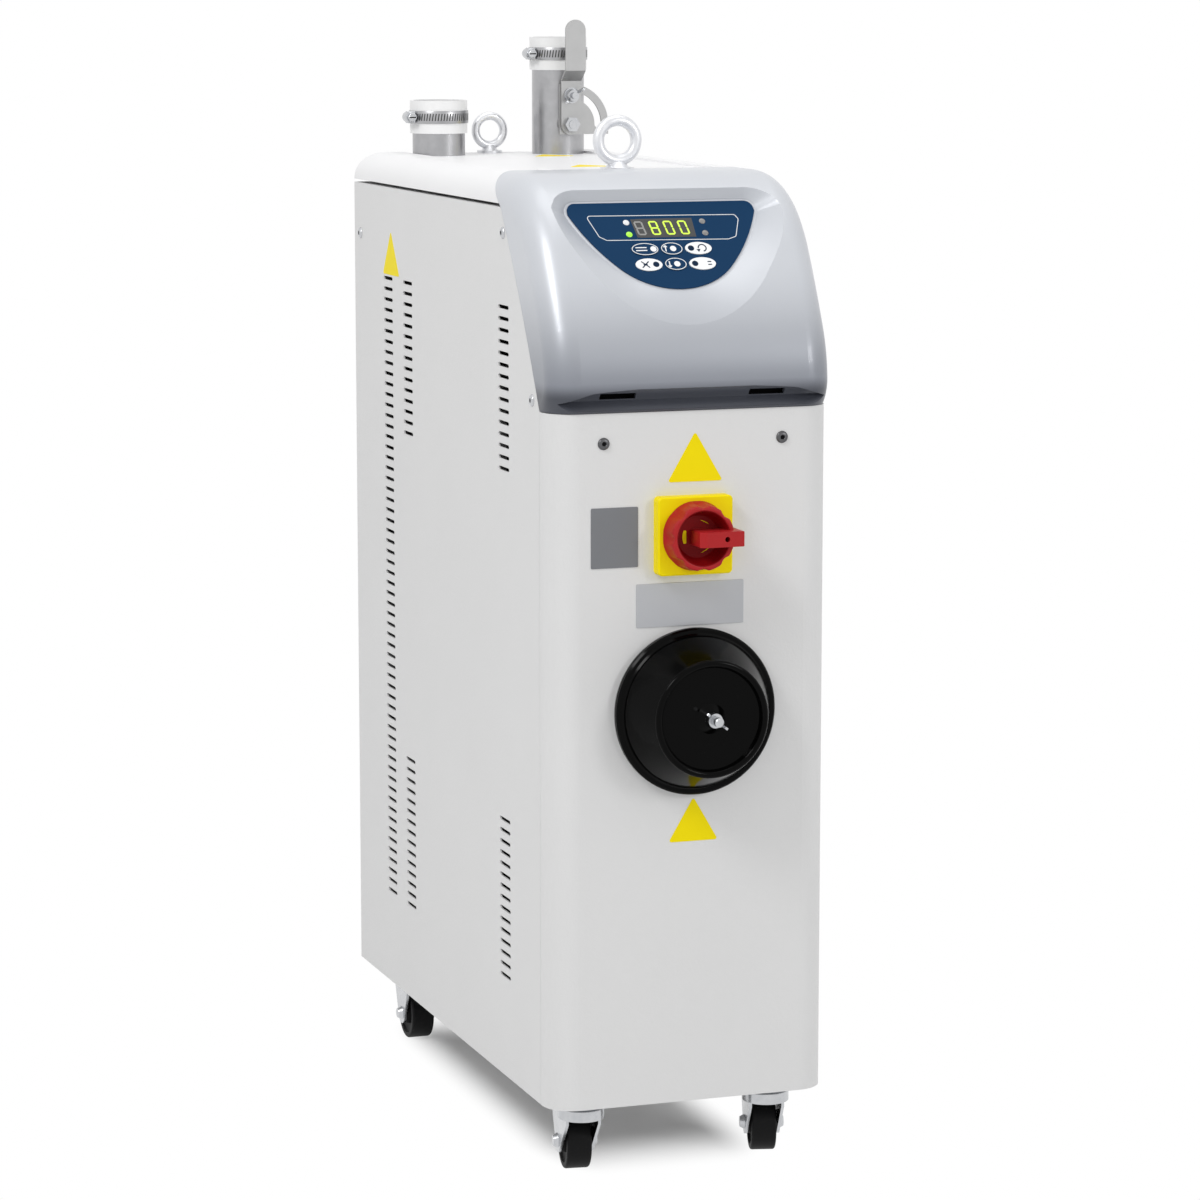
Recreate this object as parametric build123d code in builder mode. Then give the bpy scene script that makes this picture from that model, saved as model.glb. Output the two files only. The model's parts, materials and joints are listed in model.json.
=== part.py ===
from build123d import *

import os
from math import cos, radians, sin, sqrt, tan

# Compact twin-tower air dryer: a narrow sheet-metal cabinet on four casters, with a moulded
# control hood at the top front, two hose stubs on the roof and a round filter cover in front.
# X runs to the right, Y to the back and Z up. The origin is on the floor, under the centre
# of the overall box. All lengths are in millimetres and all angles in degrees.

os.makedirs("parts", exist_ok=True)


# Cabinet
cabinet_width = 254.0
cabinet_depth = 596.0
caster_height = 72.0
roof_height = 867.0
roof_rise = 29.0
hood_drop = 195.0
sheet = 1.5
base_sheet = 2.0
corner_radius = 26.0
wing_depth = 30.0
flange_depth = 14.0
panel_gap = 0.4
roof_gap = 3.0

# Ventilation slots in the side panels
slot_pitch = 10.0
slot_top_margin = 85.2
slot_length = 30.0
slot_width = 3.4
slot_first_height = 162.8
short_rows = 15
long_column_offset = 114.0
middle_column_offset = 178.0
front_column_offset = 128.0

# Roof cover and control hood
roof_wall = 2.5
roof_radius = 25.0
pan_depth = 2.0
pan_margin = 41.0
hood_wall = 3.0
hood_side_wall = 11.0
hood_radius = 25.0
hood_crest_depth = 138.0
hood_brow_depth = 60.0
hood_brow_drop = 33.0
hood_cheek_depth = 40.0
hood_cheek_drop = 59.0
hood_belly_depth = 5.0
hood_belly_drop = 124.0
hood_chin_reach = 7.0
hood_chin_drop = 170.0
hood_toe_reach = 1.0
lip_rise = 13.6
nose_rise = 20.0
nose_sag = 3.0
nose_half = 92.0
nose_end_rise = 6.0
nose_edge = 2.0
lip_foot = 2.0
lip_crease_rise = 10.0
lip_crease_depth = 4.5
lip_slot_spread = 67.0
lip_slot_length = 32.0
lip_slot_width = 5.0
seam_top_offset = 178.0
seam_bottom_offset = 135.0
seam_middle_offset = 73.5
seam_middle_rise = 75.0
dial_slope = 50.0
dial_foot_offset = 5.3
dial_foot_drop = 123.3
dial_half_width = 85.0
dial_low = 37.0
dial_wide = 117.0
dial_high = 128.0
dial_arc_radius = 68.0
dial_arc_end = 60.0
dial_corner = 8.0
dial_margin = 2.5
dish_tilt = 25.0
dish_foot = 2.0
dish_growth = 60.0
overlay_thickness = 1.2

# Keys, display and lamps on the dial
key_long = 24.0
key_short = 19.3
key_height = 12.7
key_column = 24.2
key_rows = (78.3, 62.2)
key_gap = 0.3
key_travel = 0.5
key_floor = 0.1
key_thickness = 1.2
window_width = 51.0
window_height = 20.0
window_middle = 100.6
lamp_radius = 2.9
lamp_reach = 34.5
lamp_rows = (107.0, 94.5)
board_width = 118.0
board_height = 66.0
board_edge = 6.0
board_post = 8.0

# Main switch
switch_drop = 105.0
switch_offset = -2.0
switch_plate = 67.0
switch_plate_thickness = 12.0
switch_ring_radius = 30.0
switch_ring_height = 20.0
switch_grip_height = 31.0
switch_grip_width = 13.0
switch_notches = 8
spindle_radius = 5.0
switch_body_size = 58.0
switch_body_depth = 46.0

# Process air filter
filter_drop = 151.5
cover_radius = 72.0
cover_step = 66.0
cover_nose = 50.0
cover_depth = 50.0
cover_wall = 2.5
boss_radius = 13.0
can_radius = 62.0
can_wall = 2.0
can_depth = 150.0
can_flange = 2.0
gasket_thickness = 1.5
cartridge_radius = 54.0
cartridge_bore = 36.0
pleat_count = 32
stud_radius = 4.0
stud_reach = 66.0

# Hose stubs on the roof
stub_radius = 25.0
stub_wall = 1.5
stub_spread = 60.0
stub_setback = 60.0
left_sleeve_rise = 50.0
right_sleeve_rise = 109.0
sleeve_length = 31.0
sleeve_thickness = 2.2
sleeve_lip = 12.0
sleeve_mouth = 24.3
band_width = 12.0
band_thickness = 1.0

# Butterfly valve on the right stub
pivot_rise = 27.0
valve_shaft_radius = 4.0
quadrant_reach = 38.0
quadrant_sheet = 2.0
quadrant_radius = 38.0
lock_radius = 27.5
lock_slot = 6.8
lock_bolt_radius = 3.0
lever_width = 20.0
lever_sheet = 2.0
lever_top = 99.0
lever_jog = 13.0
lever_jog_height = 47.0
running_gap = 0.3
shaft_play = 0.06

# Lifting eyes
front_eye_offset = 194.0
plug_offset = 190.0
plug_spread = 67.0
rear_eye_offset = 31.0
front_eye = (45.0, 25.0, 5.0, 30.0)
rear_eye = (36.0, 20.0, 4.0, 24.0)
eye_washer = 2.5
shank_length = 24.0

# Casters
caster_inset = 41.0
front_caster_offset = 43.0
rear_caster_offset = 54.0
trail = 30.0
wheel_radius = 25.0
wheel_width = 22.0
tread_corner = 2.0
hub_width = 25.4
hub_radius = 10.0
axle_radius = 4.0
fork_sheet = 2.5
fork_gap = 0.3
head_radius = 20.5
head_height = 4.0
crown_radius = 20.5
crown_height = 14.0
race_radius = 18.0
race_height = 4.0
brake_pivot = (50.0, 52.0)
pin_radius = 2.0
rear_leg_length = 50.0
left_caster_turn = -8.0
right_caster_turn = -15.0

# Insides
plate_offset = 169.0
tower_radius = 48.0
tower_wall = 2.0
tower_drop = 227.0
tower_clearance = 24.0
tower_side = 45.0
tower_spacing = 110.0
blower_radius = 98.0
blower_height = 180.0
blower_thickness = 60.0
duct_wall = 1.5
duct_gap = 5.0
duct_tall = 30.0
blower_clearance = 10.0
motor_clearance = 23.0
motor_mount = 6.0
power_gap = 49.5
power_width = 150.0
power_tall = 130.0
power_depth = 62.0
stub_drop = 58.0
manifold_height = 50.0
rail_width = 40.0
rail_height = 24.0
rail_sheet = 3.0
rail_foot = 12.0
gland_radius = 12.0
gland_margin = 52.0
gland_bore = 6.5
rear_reach = 20.0

# Fasteners
screw_head_radius = 5.2
screw_head_height = 2.2
screw_radius = 2.0
screw_length = 6.0
front_screw_spread = 80.3
front_screw_drop = 25.5
wing_span = 12.0


# Places worked out from the sizes above
front_y = -(cabinet_depth + stud_reach + rear_reach) / 2 + stud_reach
rear_y = front_y + cabinet_depth
middle_y = (front_y + rear_y) / 2
seam_y = front_y + wing_depth
half_width = cabinet_width / 2
inner_half = half_width - sheet
panel_top = roof_height - roof_rise
hood_bottom = roof_height - hood_drop
pan_width = cabinet_width - 2 * pan_margin
dial_foot_y = front_y + dial_foot_offset
dial_foot_height = roof_height - dial_foot_drop
key_lift = key_travel + key_floor
switch_height = hood_bottom - switch_drop
filter_height = switch_height - filter_drop
front_screw_height = hood_bottom - front_screw_drop
stub_y = rear_y - stub_setback
left_sleeve_top = roof_height + left_sleeve_rise
right_sleeve_top = roof_height + right_sleeve_rise
pivot_height = roof_height + pivot_rise
caster_spread = half_width - caster_inset
plate_y = front_y + plate_offset
tower_y = plate_y + base_sheet + tower_clearance + tower_radius + tower_spacing / 2
tower_top = roof_height - tower_drop


def save(piece, name):
    """Label a finished piece and write it to its own file."""
    piece.part.label = name
    export_step(piece.part, f"parts/{name}.step")


def footprint(inset):
    """The cabinet seen from above, with round front corners, pulled in by an inset."""
    with BuildSketch() as outline:
        with Locations((0, middle_y)):
            Rectangle(cabinet_width - 2 * inset, cabinet_depth - 2 * inset)
        fillet(outline.vertices().group_by(Axis.Y)[0], corner_radius - inset)
    return outline.sketch


def facing_front(x, y, z):
    """A plane that looks out of the front: local x to the right, local y up."""
    return Plane(origin=(x, y, z), x_dir=(1, 0, 0), z_dir=(0, -1, 0))


def side_view(x):
    """A plane across the width: local x to the back, local y up, normal to the right."""
    return Plane(origin=(x, 0, 0), x_dir=(0, 1, 0), z_dir=(1, 0, 0))


# Base tray that carries the casters, the towers and the blower
with BuildPart() as base_frame:
    with BuildSketch(Plane.XY.offset(caster_height)):
        add(footprint(sheet + panel_gap))
    extrude(amount=flange_depth + base_sheet)
    with BuildSketch(Plane.XY.offset(caster_height + base_sheet)):
        add(footprint(sheet + panel_gap + base_sheet))
    extrude(amount=flange_depth, mode=Mode.SUBTRACT)
save(base_frame, "base_frame")


# Side panels, cut back along the hood and folded in at the top and the rear
panel_front_y = seam_y + panel_gap
seam_low = (panel_front_y - 2.0, hood_bottom)
seam_middle = (front_y + seam_middle_offset, hood_bottom + seam_middle_rise)
seam_high = (front_y + seam_bottom_offset, panel_top)
slot_rows = round((panel_top - slot_top_margin - slot_first_height) / slot_pitch) + 1
column_top = slot_first_height + (slot_rows - 1) * slot_pitch
long_column = [
    (rear_y - long_column_offset, column_top - row * slot_pitch) for row in range(slot_rows)
]
short_columns = [
    (y, start - row * slot_pitch)
    for y in (rear_y - middle_column_offset, front_y + front_column_offset)
    for start in (column_top, slot_first_height + (short_rows - 1) * slot_pitch)
    for row in range(short_rows)
]
side_screws = [
    (rear_y - 21.0, panel_top - 48.0),
    (front_y + 128.0, panel_top - 21.5),
    (front_y + 49.0, hood_bottom + 8.0),
]

with BuildPart() as left_side_panel:
    with BuildSketch(side_view(-half_width)):
        with BuildLine():
            Polyline(
                seam_high,
                (rear_y, panel_top),
                (rear_y, caster_height),
                (panel_front_y, caster_height),
                (panel_front_y, hood_bottom),
            )
            ThreePointArc((panel_front_y, hood_bottom), seam_middle, seam_high)
        make_face()
        with Locations(*long_column, *short_columns):
            Polygon(
                (-slot_length / 2, 0),
                (-slot_length / 2 + slot_width / 2, -slot_width / 2),
                (slot_length / 2 - slot_width / 2, -slot_width / 2),
                (slot_length / 2, 0),
                (slot_length / 2 - slot_width / 2, slot_width / 2),
                (-slot_length / 2 + slot_width / 2, slot_width / 2),
                mode=Mode.SUBTRACT,
            )
        with Locations(*side_screws):
            Circle(screw_radius + 0.2, mode=Mode.SUBTRACT)
    extrude(amount=sheet)
    with BuildSketch(side_view(-inner_half)):
        with Locations((rear_y - sheet - sheet / 2, (caster_height + panel_top) / 2)):
            Rectangle(sheet, panel_top - caster_height - 2 * flange_depth - 8)
    extrude(amount=flange_depth)
    with BuildSketch(side_view(-inner_half)):
        with Locations(((seam_high[0] + rear_y) / 2, panel_top - sheet / 2)):
            Rectangle(rear_y - seam_high[0] - 2 * flange_depth, sheet)
    extrude(amount=flange_depth)
save(left_side_panel, "left_side_panel")

with BuildPart() as right_side_panel:
    add(mirror(left_side_panel.part, about=Plane.YZ, mode=Mode.PRIVATE))
save(right_side_panel, "right_side_panel")


# Front panel: one sheet wrapped round both front corners, with a lip under the hood
with BuildPart() as front_panel:
    with BuildSketch(Plane.XY.offset(caster_height)) as wrap:
        add(footprint(0))
        add(footprint(sheet), mode=Mode.SUBTRACT)
        with Locations((0, seam_y + cabinet_depth)):
            Rectangle(2 * cabinet_width, 2 * cabinet_depth, mode=Mode.SUBTRACT)
    extrude(amount=hood_bottom - caster_height)
    with BuildSketch(Plane.XY.offset(hood_bottom - sheet)):
        add(footprint(0))
        add(footprint(flange_depth), mode=Mode.SUBTRACT)
        with Locations((0, seam_y + cabinet_depth)):
            Rectangle(2 * cabinet_width, 2 * cabinet_depth, mode=Mode.SUBTRACT)
    extrude(amount=sheet)
    with BuildSketch(facing_front(0, front_y, 0)):
        with Locations((0, filter_height)):
            Circle(can_radius + 0.5)
        with Locations((switch_offset, switch_height)):
            Circle(spindle_radius + 4)
        with Locations((-front_screw_spread, front_screw_height), (front_screw_spread, front_screw_height)):
            Circle(screw_radius + 0.2)
    extrude(amount=-2 * sheet, mode=Mode.SUBTRACT)
save(front_panel, "front_panel")


# Rear panel with a louvre field behind the blower motor and a hole for the cable gland
gland_x = half_width - gland_margin
gland_z = 130.0
rear_slots = [(x, 240.0 + 12.0 * row) for x in (-34.0, 34.0) for row in range(9)]
with BuildPart() as rear_panel:
    with BuildSketch(facing_front(0, rear_y - sheet, 0)):
        with Locations((0, (caster_height + panel_top) / 2)):
            Rectangle(2 * inner_half - 2 * panel_gap, panel_top - caster_height)
        with Locations(*rear_slots):
            Rectangle(48.0, 4.0, mode=Mode.SUBTRACT)
        with Locations((gland_x, gland_z)):
            Circle(gland_radius - 3, mode=Mode.SUBTRACT)
    extrude(amount=-sheet)
save(rear_panel, "rear_panel")


# Roof cover: a shallow moulded lid with round shoulders and a slightly sunk middle
roof_low = panel_top + roof_gap
seam_rise = roof_height - panel_top
seam_run = seam_top_offset - seam_bottom_offset
seam_top = (front_y + seam_top_offset, roof_height)
pipe_holes = [(-stub_spread, stub_y), (stub_spread, stub_y)]
eye_places = [(0, front_y + front_eye_offset), (0, rear_y - rear_eye_offset)]
plug_places = [(side * plug_spread, front_y + plug_offset) for side in (-1, 1)]


def seam_line(height):
    """How far back the hood's rear edge lies at a height."""
    if height > panel_top:
        return seam_high[0] + (height - panel_top) * seam_run / seam_rise
    low_share = (height - hood_bottom) / (panel_top - hood_bottom)
    return seam_low[0] + low_share * (seam_high[0] - seam_low[0])


def roof_block(inset, bottom):
    """The lid's outer form, pulled in by an inset, with rounded sides and rear."""
    height = roof_height - inset - bottom
    length = rear_y - inset - front_y
    with BuildPart() as block:
        with BuildSketch(Plane.XY.offset(bottom)):
            with Locations((0, rear_y - inset - length / 2)):
                Rectangle(cabinet_width - 2 * inset, length)
        extrude(amount=height)
        top_edges = block.faces().sort_by(Axis.Z)[-1].edges()
        round_edges = top_edges.filter_by(Axis.Y) + top_edges.filter_by(Axis.X).sort_by(Axis.Y)[-1:]
        fillet(round_edges, roof_radius - inset)
    return block.part


with BuildPart() as top_cover:
    add(roof_block(0, roof_low))
    with BuildSketch(Plane.XY.offset(roof_height)):
        with Locations((0, rear_y)):
            Rectangle(pan_width, 2 * cabinet_depth)
    extrude(amount=-pan_depth, mode=Mode.SUBTRACT)
    add(roof_block(roof_wall + pan_depth, roof_low - 1), mode=Mode.SUBTRACT)
    with BuildSketch(Plane.XY.offset(roof_height)):
        with Locations(*pipe_holes):
            Circle(stub_radius + 0.5)
        with Locations(eye_places[0]):
            Circle(front_eye[2] + 0.3)
        with Locations(eye_places[1]):
            Circle(rear_eye[2] + 0.3)
        with Locations(*plug_places):
            Circle(3.2)
    extrude(amount=-(roof_wall + pan_depth) - 2, mode=Mode.SUBTRACT)
    with BuildSketch(side_view(0)):
        with BuildLine():
            Polyline(
                (seam_line(roof_low - 1) + panel_gap, roof_low - 1),
                (seam_line(roof_height + 1) + panel_gap, roof_height + 1),
                (front_y - 10, roof_height + 1),
                (front_y - 10, roof_low - 1),
                close=True,
            )
        make_face()
    extrude(amount=cabinet_width, both=True, mode=Mode.SUBTRACT)
save(top_cover, "top_cover")


# Control hood: outline in side view, from the roof seam round the front to its lower lip
hood_low = hood_bottom + panel_gap
hood_crest = (front_y + hood_crest_depth, roof_height)
hood_brow = (front_y + hood_brow_depth, roof_height - hood_brow_drop)
hood_cheek = (front_y + hood_cheek_depth, roof_height - hood_cheek_drop)
hood_belly = (front_y + hood_belly_depth, roof_height - hood_belly_drop)
hood_chin = (front_y - hood_chin_reach, roof_height - hood_chin_drop)
hood_toe = (front_y - hood_toe_reach, hood_low)


def hood_face(inset):
    """Side outline of the hood, pulled in by an inset."""
    with BuildSketch() as outline:
        with BuildLine():
            crown = Line(seam_top, hood_crest)
            brow = TangentArc(hood_crest, hood_brow, tangent=crown % 1)
            cheek = TangentArc(hood_brow, hood_cheek, tangent=brow % 1)
            belly = TangentArc(hood_cheek, hood_belly, tangent=cheek % 1)
            chin = TangentArc(hood_belly, hood_chin, tangent=belly % 1)
            TangentArc(hood_chin, hood_toe, tangent=chin % 1)
            Line(hood_toe, (panel_front_y - panel_gap, hood_low))
            ThreePointArc(
                (panel_front_y - panel_gap, hood_low),
                (seam_middle[0] - panel_gap, seam_middle[1]),
                (seam_high[0] - panel_gap, panel_top),
            )
            Line((seam_high[0] - panel_gap, panel_top), seam_top)
        make_face()
        if inset:
            offset(amount=-inset, kind=Kind.INTERSECTION)
    return outline.sketch


def hood_block(inset):
    """Solid hood form of full width, pulled in by an inset, with its long edges rounded."""
    half = half_width - inset
    with BuildPart() as block:
        with BuildSketch(side_view(0)):
            add(hood_face(inset))
        extrude(amount=half, both=True)
        nose = block.edges().filter_by_position(Axis.X, half - 0.01, half + 0.01)
        nose = nose + block.edges().filter_by_position(Axis.X, -half - 0.01, -half + 0.01)
        front_edges = [
            edge
            for edge in nose
            if (edge @ 0.5).Z > hood_low + inset + 1
            and (edge @ 0.5).Y < seam_line(min((edge @ 0.5).Z, roof_height)) - inset - 4
        ]
        fillet(front_edges, hood_radius - inset)
    return block.part


dial_plane = Plane(
    origin=(0, dial_foot_y, dial_foot_height),
    x_dir=(1, 0, 0),
    z_dir=(0, -sin(radians(dial_slope)), cos(radians(dial_slope))),
)


def dial_outline(margin):
    """Half-moon outline of the control dial, grown by a margin."""
    arc_middle = dial_low + dial_arc_radius
    arc_end_x = sqrt(dial_arc_radius**2 - (arc_middle - dial_arc_end) ** 2)
    with BuildSketch() as outline:
        with BuildLine():
            bowl = ThreePointArc(
                (-arc_end_x, dial_arc_end),
                (0, dial_low),
                (arc_end_x, dial_arc_end),
            )
            right = TangentArc(
                (arc_end_x, dial_arc_end), (dial_half_width, dial_wide), tangent=bowl % 1
            )
            Polyline(
                right @ 1,
                (dial_half_width - 1, dial_high),
                (-dial_half_width + 1, dial_high),
                (-dial_half_width, dial_wide),
            )
            TangentArc(
                (-arc_end_x, dial_arc_end),
                (-dial_half_width, dial_wide),
                tangent=(-(bowl % 0).X, -(bowl % 0).Y),
            )
        make_face()
        corners = outline.vertices().group_by(Axis.Y)[-1]
        fillet(corners, dial_corner)
        if margin:
            offset(amount=margin)
    return outline.sketch


def dish(margin, drop):
    """Form of the dish: flat at its foot, steep at its sides and top, let down by a drop."""
    floor = dial_plane.offset(-drop)
    lean = radians(dial_slope + dish_tilt)
    rim_plane = Plane(
        origin=floor.from_local_coords((0, -dish_foot, 0)),
        x_dir=(1, 0, 0),
        z_dir=(0, -sin(lean), cos(lean)),
    )
    with BuildPart() as form:
        with BuildSketch(floor):
            add(dial_outline(margin))
        with BuildSketch(rim_plane):
            with Locations((0, dish_growth + dial_margin - dial_low)):
                add(dial_outline(margin + dish_growth))
        loft(ruled=True)
    return form.part


def lip_undercut(margin):
    """Form of the undercut between the hood's nose and its lower lip, grown by a margin."""
    crease = (front_y + lip_crease_depth, hood_low + lip_crease_rise)
    nose = (hood_chin[0] - 2.0, hood_low + nose_rise)
    bend = ((crease[0] + nose[0]) / 2 + 2.5, (crease[1] + nose[1]) / 2 + 1.0)
    with BuildPart() as form:
        with BuildSketch(side_view(0)):
            with BuildLine():
                ThreePointArc(nose, bend, crease)
                Polyline(
                    crease,
                    (hood_toe[0], hood_low + lip_foot),
                    (hood_chin[0] - 2.0, hood_low + lip_foot - 1.0),
                    nose,
                )
            make_face()
            if margin:
                offset(amount=margin, kind=Kind.INTERSECTION)
        extrude(amount=half_width, both=True)
        with BuildSketch(facing_front(0, front_y + 2 * hood_radius, hood_low)) as arch:
            with BuildLine():
                ThreePointArc(
                    (-nose_half, nose_rise - nose_sag),
                    (0, nose_rise + 1),
                    (nose_half, nose_rise - nose_sag),
                )
                Polyline(
                    (nose_half, nose_rise - nose_sag),
                    (half_width + 1, nose_end_rise),
                    (half_width + 1, -hood_wall),
                    (-half_width - 1, -hood_wall),
                    (-half_width - 1, nose_end_rise),
                    (-nose_half, nose_rise - nose_sag),
                )
            make_face()
            shoulders = [v for v in arch.vertices() if abs(abs(v.X) - nose_half) < 0.1]
            fillet(shoulders, hood_radius)
            if margin:
                offset(amount=margin)
        extrude(amount=4 * hood_radius, mode=Mode.INTERSECT)
    return form.part


with BuildPart() as dial_tub:
    add(dish(dial_margin + hood_wall, hood_wall))
    add(hood_block(0), mode=Mode.INTERSECT)

with BuildPart() as lip_tub:
    add(lip_undercut(hood_wall))
    add(hood_block(0), mode=Mode.INTERSECT)

with BuildPart() as control_hood:
    add(hood_block(0))
    for inset, half in ((hood_wall, half_width - hood_radius), (hood_side_wall, half_width - hood_side_wall)):
        with BuildSketch(side_view(0)):
            add(hood_face(inset))
        extrude(amount=half, both=True, mode=Mode.SUBTRACT)
        with BuildSketch(side_view(0)):
            with BuildLine():
                Polyline(
                    (hood_toe[0] + 16.0, hood_low + hood_wall),
                    (panel_front_y + 5, hood_low + hood_wall),
                    (seam_high[0] + 8, panel_top),
                    (seam_top[0] + 8, roof_height - inset),
                    (seam_top[0] - 14, roof_height - inset),
                    (seam_high[0] - 20, panel_top - 4),
                    close=True,
                )
            make_face()
        extrude(amount=half, both=True, mode=Mode.SUBTRACT)
    add(dial_tub.part)
    add(dish(dial_margin, 0), mode=Mode.SUBTRACT)
    add(lip_tub.part)
    add(lip_undercut(0), mode=Mode.SUBTRACT)
    with BuildSketch(facing_front(0, front_y, hood_low + lip_rise)):
        with Locations((-lip_slot_spread, 0), (lip_slot_spread, 0)):
            Rectangle(lip_slot_length, lip_slot_width)
    extrude(amount=20.0, both=True, mode=Mode.SUBTRACT)
save(control_hood, "control_hood")


# Overlay film on the dial, with openings for the keys, the display window and the lamps
key_places = {
    "alarm_key": (-key_column, key_rows[0], key_long),
    "raise_key": (0.0, key_rows[0], key_short),
    "cycle_key": (key_column, key_rows[0], key_long),
    "mute_key": (-key_column, key_rows[1], key_long),
    "lower_key": (0.0, key_rows[1], key_short),
    "power_key": (key_column, key_rows[1], key_long),
}
lamp_places = [(side * lamp_reach, row) for side in (-1, 1) for row in lamp_rows]

with BuildPart() as dial_overlay:
    with BuildSketch(dial_plane):
        add(dial_outline(0))
        for x, height, width in key_places.values():
            with Locations((x, height)):
                Ellipse(width / 2 + key_gap, key_height / 2 + key_gap, mode=Mode.SUBTRACT)
        with Locations((0, window_middle)):
            Rectangle(window_width, window_height, mode=Mode.SUBTRACT)
        with Locations(*lamp_places):
            Circle(lamp_radius, mode=Mode.SUBTRACT)
    extrude(amount=overlay_thickness)
save(dial_overlay, "dial_overlay")

for name, (x, height, width) in key_places.items():
    with BuildPart() as key:
        with BuildSketch(dial_plane.offset(key_lift)):
            with Locations((x, height)):
                Ellipse(width / 2, key_height / 2)
        extrude(amount=key_thickness)
    save(key, name)

with BuildPart() as display_window:
    with BuildSketch(dial_plane):
        with Locations((0, window_middle)):
            Rectangle(window_width, window_height)
    extrude(amount=overlay_thickness)
save(display_window, "display_window")

with BuildPart() as indicator_lamps:
    with BuildSketch(dial_plane):
        with Locations(*lamp_places):
            Circle(lamp_radius)
    extrude(amount=overlay_thickness + 0.6)
save(indicator_lamps, "indicator_lamps")

# Control board on four posts behind the dial
board_plane = dial_plane.offset(-hood_wall)
with BuildPart() as control_board:
    with BuildSketch(board_plane.offset(-board_post)):
        with Locations((0, (key_rows[1] + dial_high) / 2)):
            Rectangle(board_width, board_height)
    extrude(amount=-1.6)
    with BuildSketch(board_plane.offset(-board_post)):
        with Locations((0, (key_rows[1] + dial_high) / 2)):
            with GridLocations(board_width - 2 * board_edge, board_height - 2 * board_edge, 2, 2):
                Rectangle(6.0, 6.0)
    extrude(amount=board_post)
    with BuildSketch(board_plane.offset(-board_post - 1.6)):
        with Locations((-20.0, 84.0), (28.0, 90.0)):
            Rectangle(28.0, 22.0)
    extrude(amount=-9.0)
save(control_board, "control_board")


# Main switch: plate, fluted handle with its spindle, and the switch behind the panel
switch_plane = facing_front(switch_offset, front_y, switch_height)
switch_face = switch_plane.offset(switch_plate_thickness)
with BuildPart() as switch_base:
    with BuildSketch(switch_plane):
        RectangleRounded(switch_plate, switch_plate, 4.0)
    extrude(amount=switch_plate_thickness)
    chamfer(switch_base.faces().sort_by(Axis.Y)[0].edges(), 1.2)
    with BuildSketch(switch_plane):
        Circle(spindle_radius + 1.0)
    extrude(amount=switch_plate_thickness, mode=Mode.SUBTRACT)
save(switch_base, "switch_plate")

notch_radius = 7.0
with BuildPart() as switch_handle:
    with BuildSketch(switch_face.offset(running_gap)):
        Circle(switch_ring_radius)
        with PolarLocations(switch_ring_radius + notch_radius - 3.2, switch_notches):
            Circle(notch_radius, mode=Mode.SUBTRACT)
    extrude(amount=switch_ring_height - running_gap)
    with BuildSketch(switch_face.offset(5.0)):
        Circle(17.0)
    with BuildSketch(switch_face.offset(switch_ring_height)):
        Circle(22.8)
    loft(ruled=True, mode=Mode.SUBTRACT)
    with BuildSketch(switch_face.offset(running_gap)):
        with PolarLocations(12.0, 3, start_angle=180):
            Rectangle(7.0, 10.0)
    extrude(amount=6.0, mode=Mode.SUBTRACT)
    with BuildSketch(switch_face.offset(3.0)):
        with Locations((12.5, 0)):
            Rectangle(39.0, switch_grip_width)
    extrude(amount=switch_grip_height - 3.0)
    with BuildSketch(Plane(origin=(0, 0, switch_height), x_dir=(1, 0, 0), z_dir=(0, 0, 1))):
        with Locations((switch_offset + 17.0, front_y - switch_plate_thickness - switch_grip_height + 5.5)):
            Circle(2.6)
    extrude(amount=switch_grip_width, both=True, mode=Mode.SUBTRACT)
    with BuildSketch(switch_face.offset(running_gap)):
        Circle(spindle_radius)
    extrude(amount=-(switch_plate_thickness + sheet + 30.0))
save(switch_handle, "switch_handle")

with BuildPart() as switch_body:
    with BuildSketch(switch_plane.offset(-sheet)):
        Rectangle(switch_body_size, switch_body_size)
        Circle(spindle_radius + shaft_play, mode=Mode.SUBTRACT)
    extrude(amount=-switch_body_depth)
save(switch_body, "switch_body")


# Filter cover, turned about the filter axis: local x is the radius, local y points forwards
filter_plane = Plane(origin=(0, front_y, filter_height), x_dir=(1, 0, 0), z_dir=(0, 0, -1))
filter_axis = Axis((0, front_y, filter_height), (0, 1, 0))
cover_back = can_flange + gasket_thickness
with BuildPart() as filter_cover:
    with BuildSketch(filter_plane):
        with BuildLine():
            Polyline(
                (cover_radius - 4, cover_back),
                (cover_radius - 0.6, cover_back),
                (cover_radius, cover_back + 1),
                (cover_radius, cover_back + 5),
                (cover_radius - 1.5, cover_back + 6.5),
                (cover_step + 1.5, cover_back + 6.5),
                (cover_step, cover_back + 8),
                (cover_step - 1, cover_back + 11),
                (cover_nose + 0.8, cover_depth - 3),
            )
            ThreePointArc(
                (cover_nose + 0.8, cover_depth - 3),
                (cover_nose - 2.2, cover_depth),
                (cover_nose - 5.4, cover_depth - 2.5),
            )
            Polyline(
                (cover_nose - 5.4, cover_depth - 2.5),
                (cover_nose - 6.5, cover_depth - 5),
                (boss_radius, cover_depth - 5),
                (stud_radius + 3.5, cover_depth),
                (stud_radius + 0.2, cover_depth),
                (stud_radius + 0.2, cover_depth - 5 - cover_wall),
                (cover_nose - 5, cover_depth - 5 - cover_wall),
                (cover_step - 4, cover_back + 6.5),
                (cover_radius - 4, cover_back + 3),
                (cover_radius - 4, cover_back),
            )
        make_face()
    revolve(axis=filter_axis)
save(filter_cover, "filter_cover")

with BuildPart() as cover_gasket:
    with BuildSketch(facing_front(0, front_y - can_flange, filter_height)):
        Circle(cover_radius - 0.8)
        Circle(cover_radius - 9, mode=Mode.SUBTRACT)
    extrude(amount=gasket_thickness)
save(cover_gasket, "cover_gasket")

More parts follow.
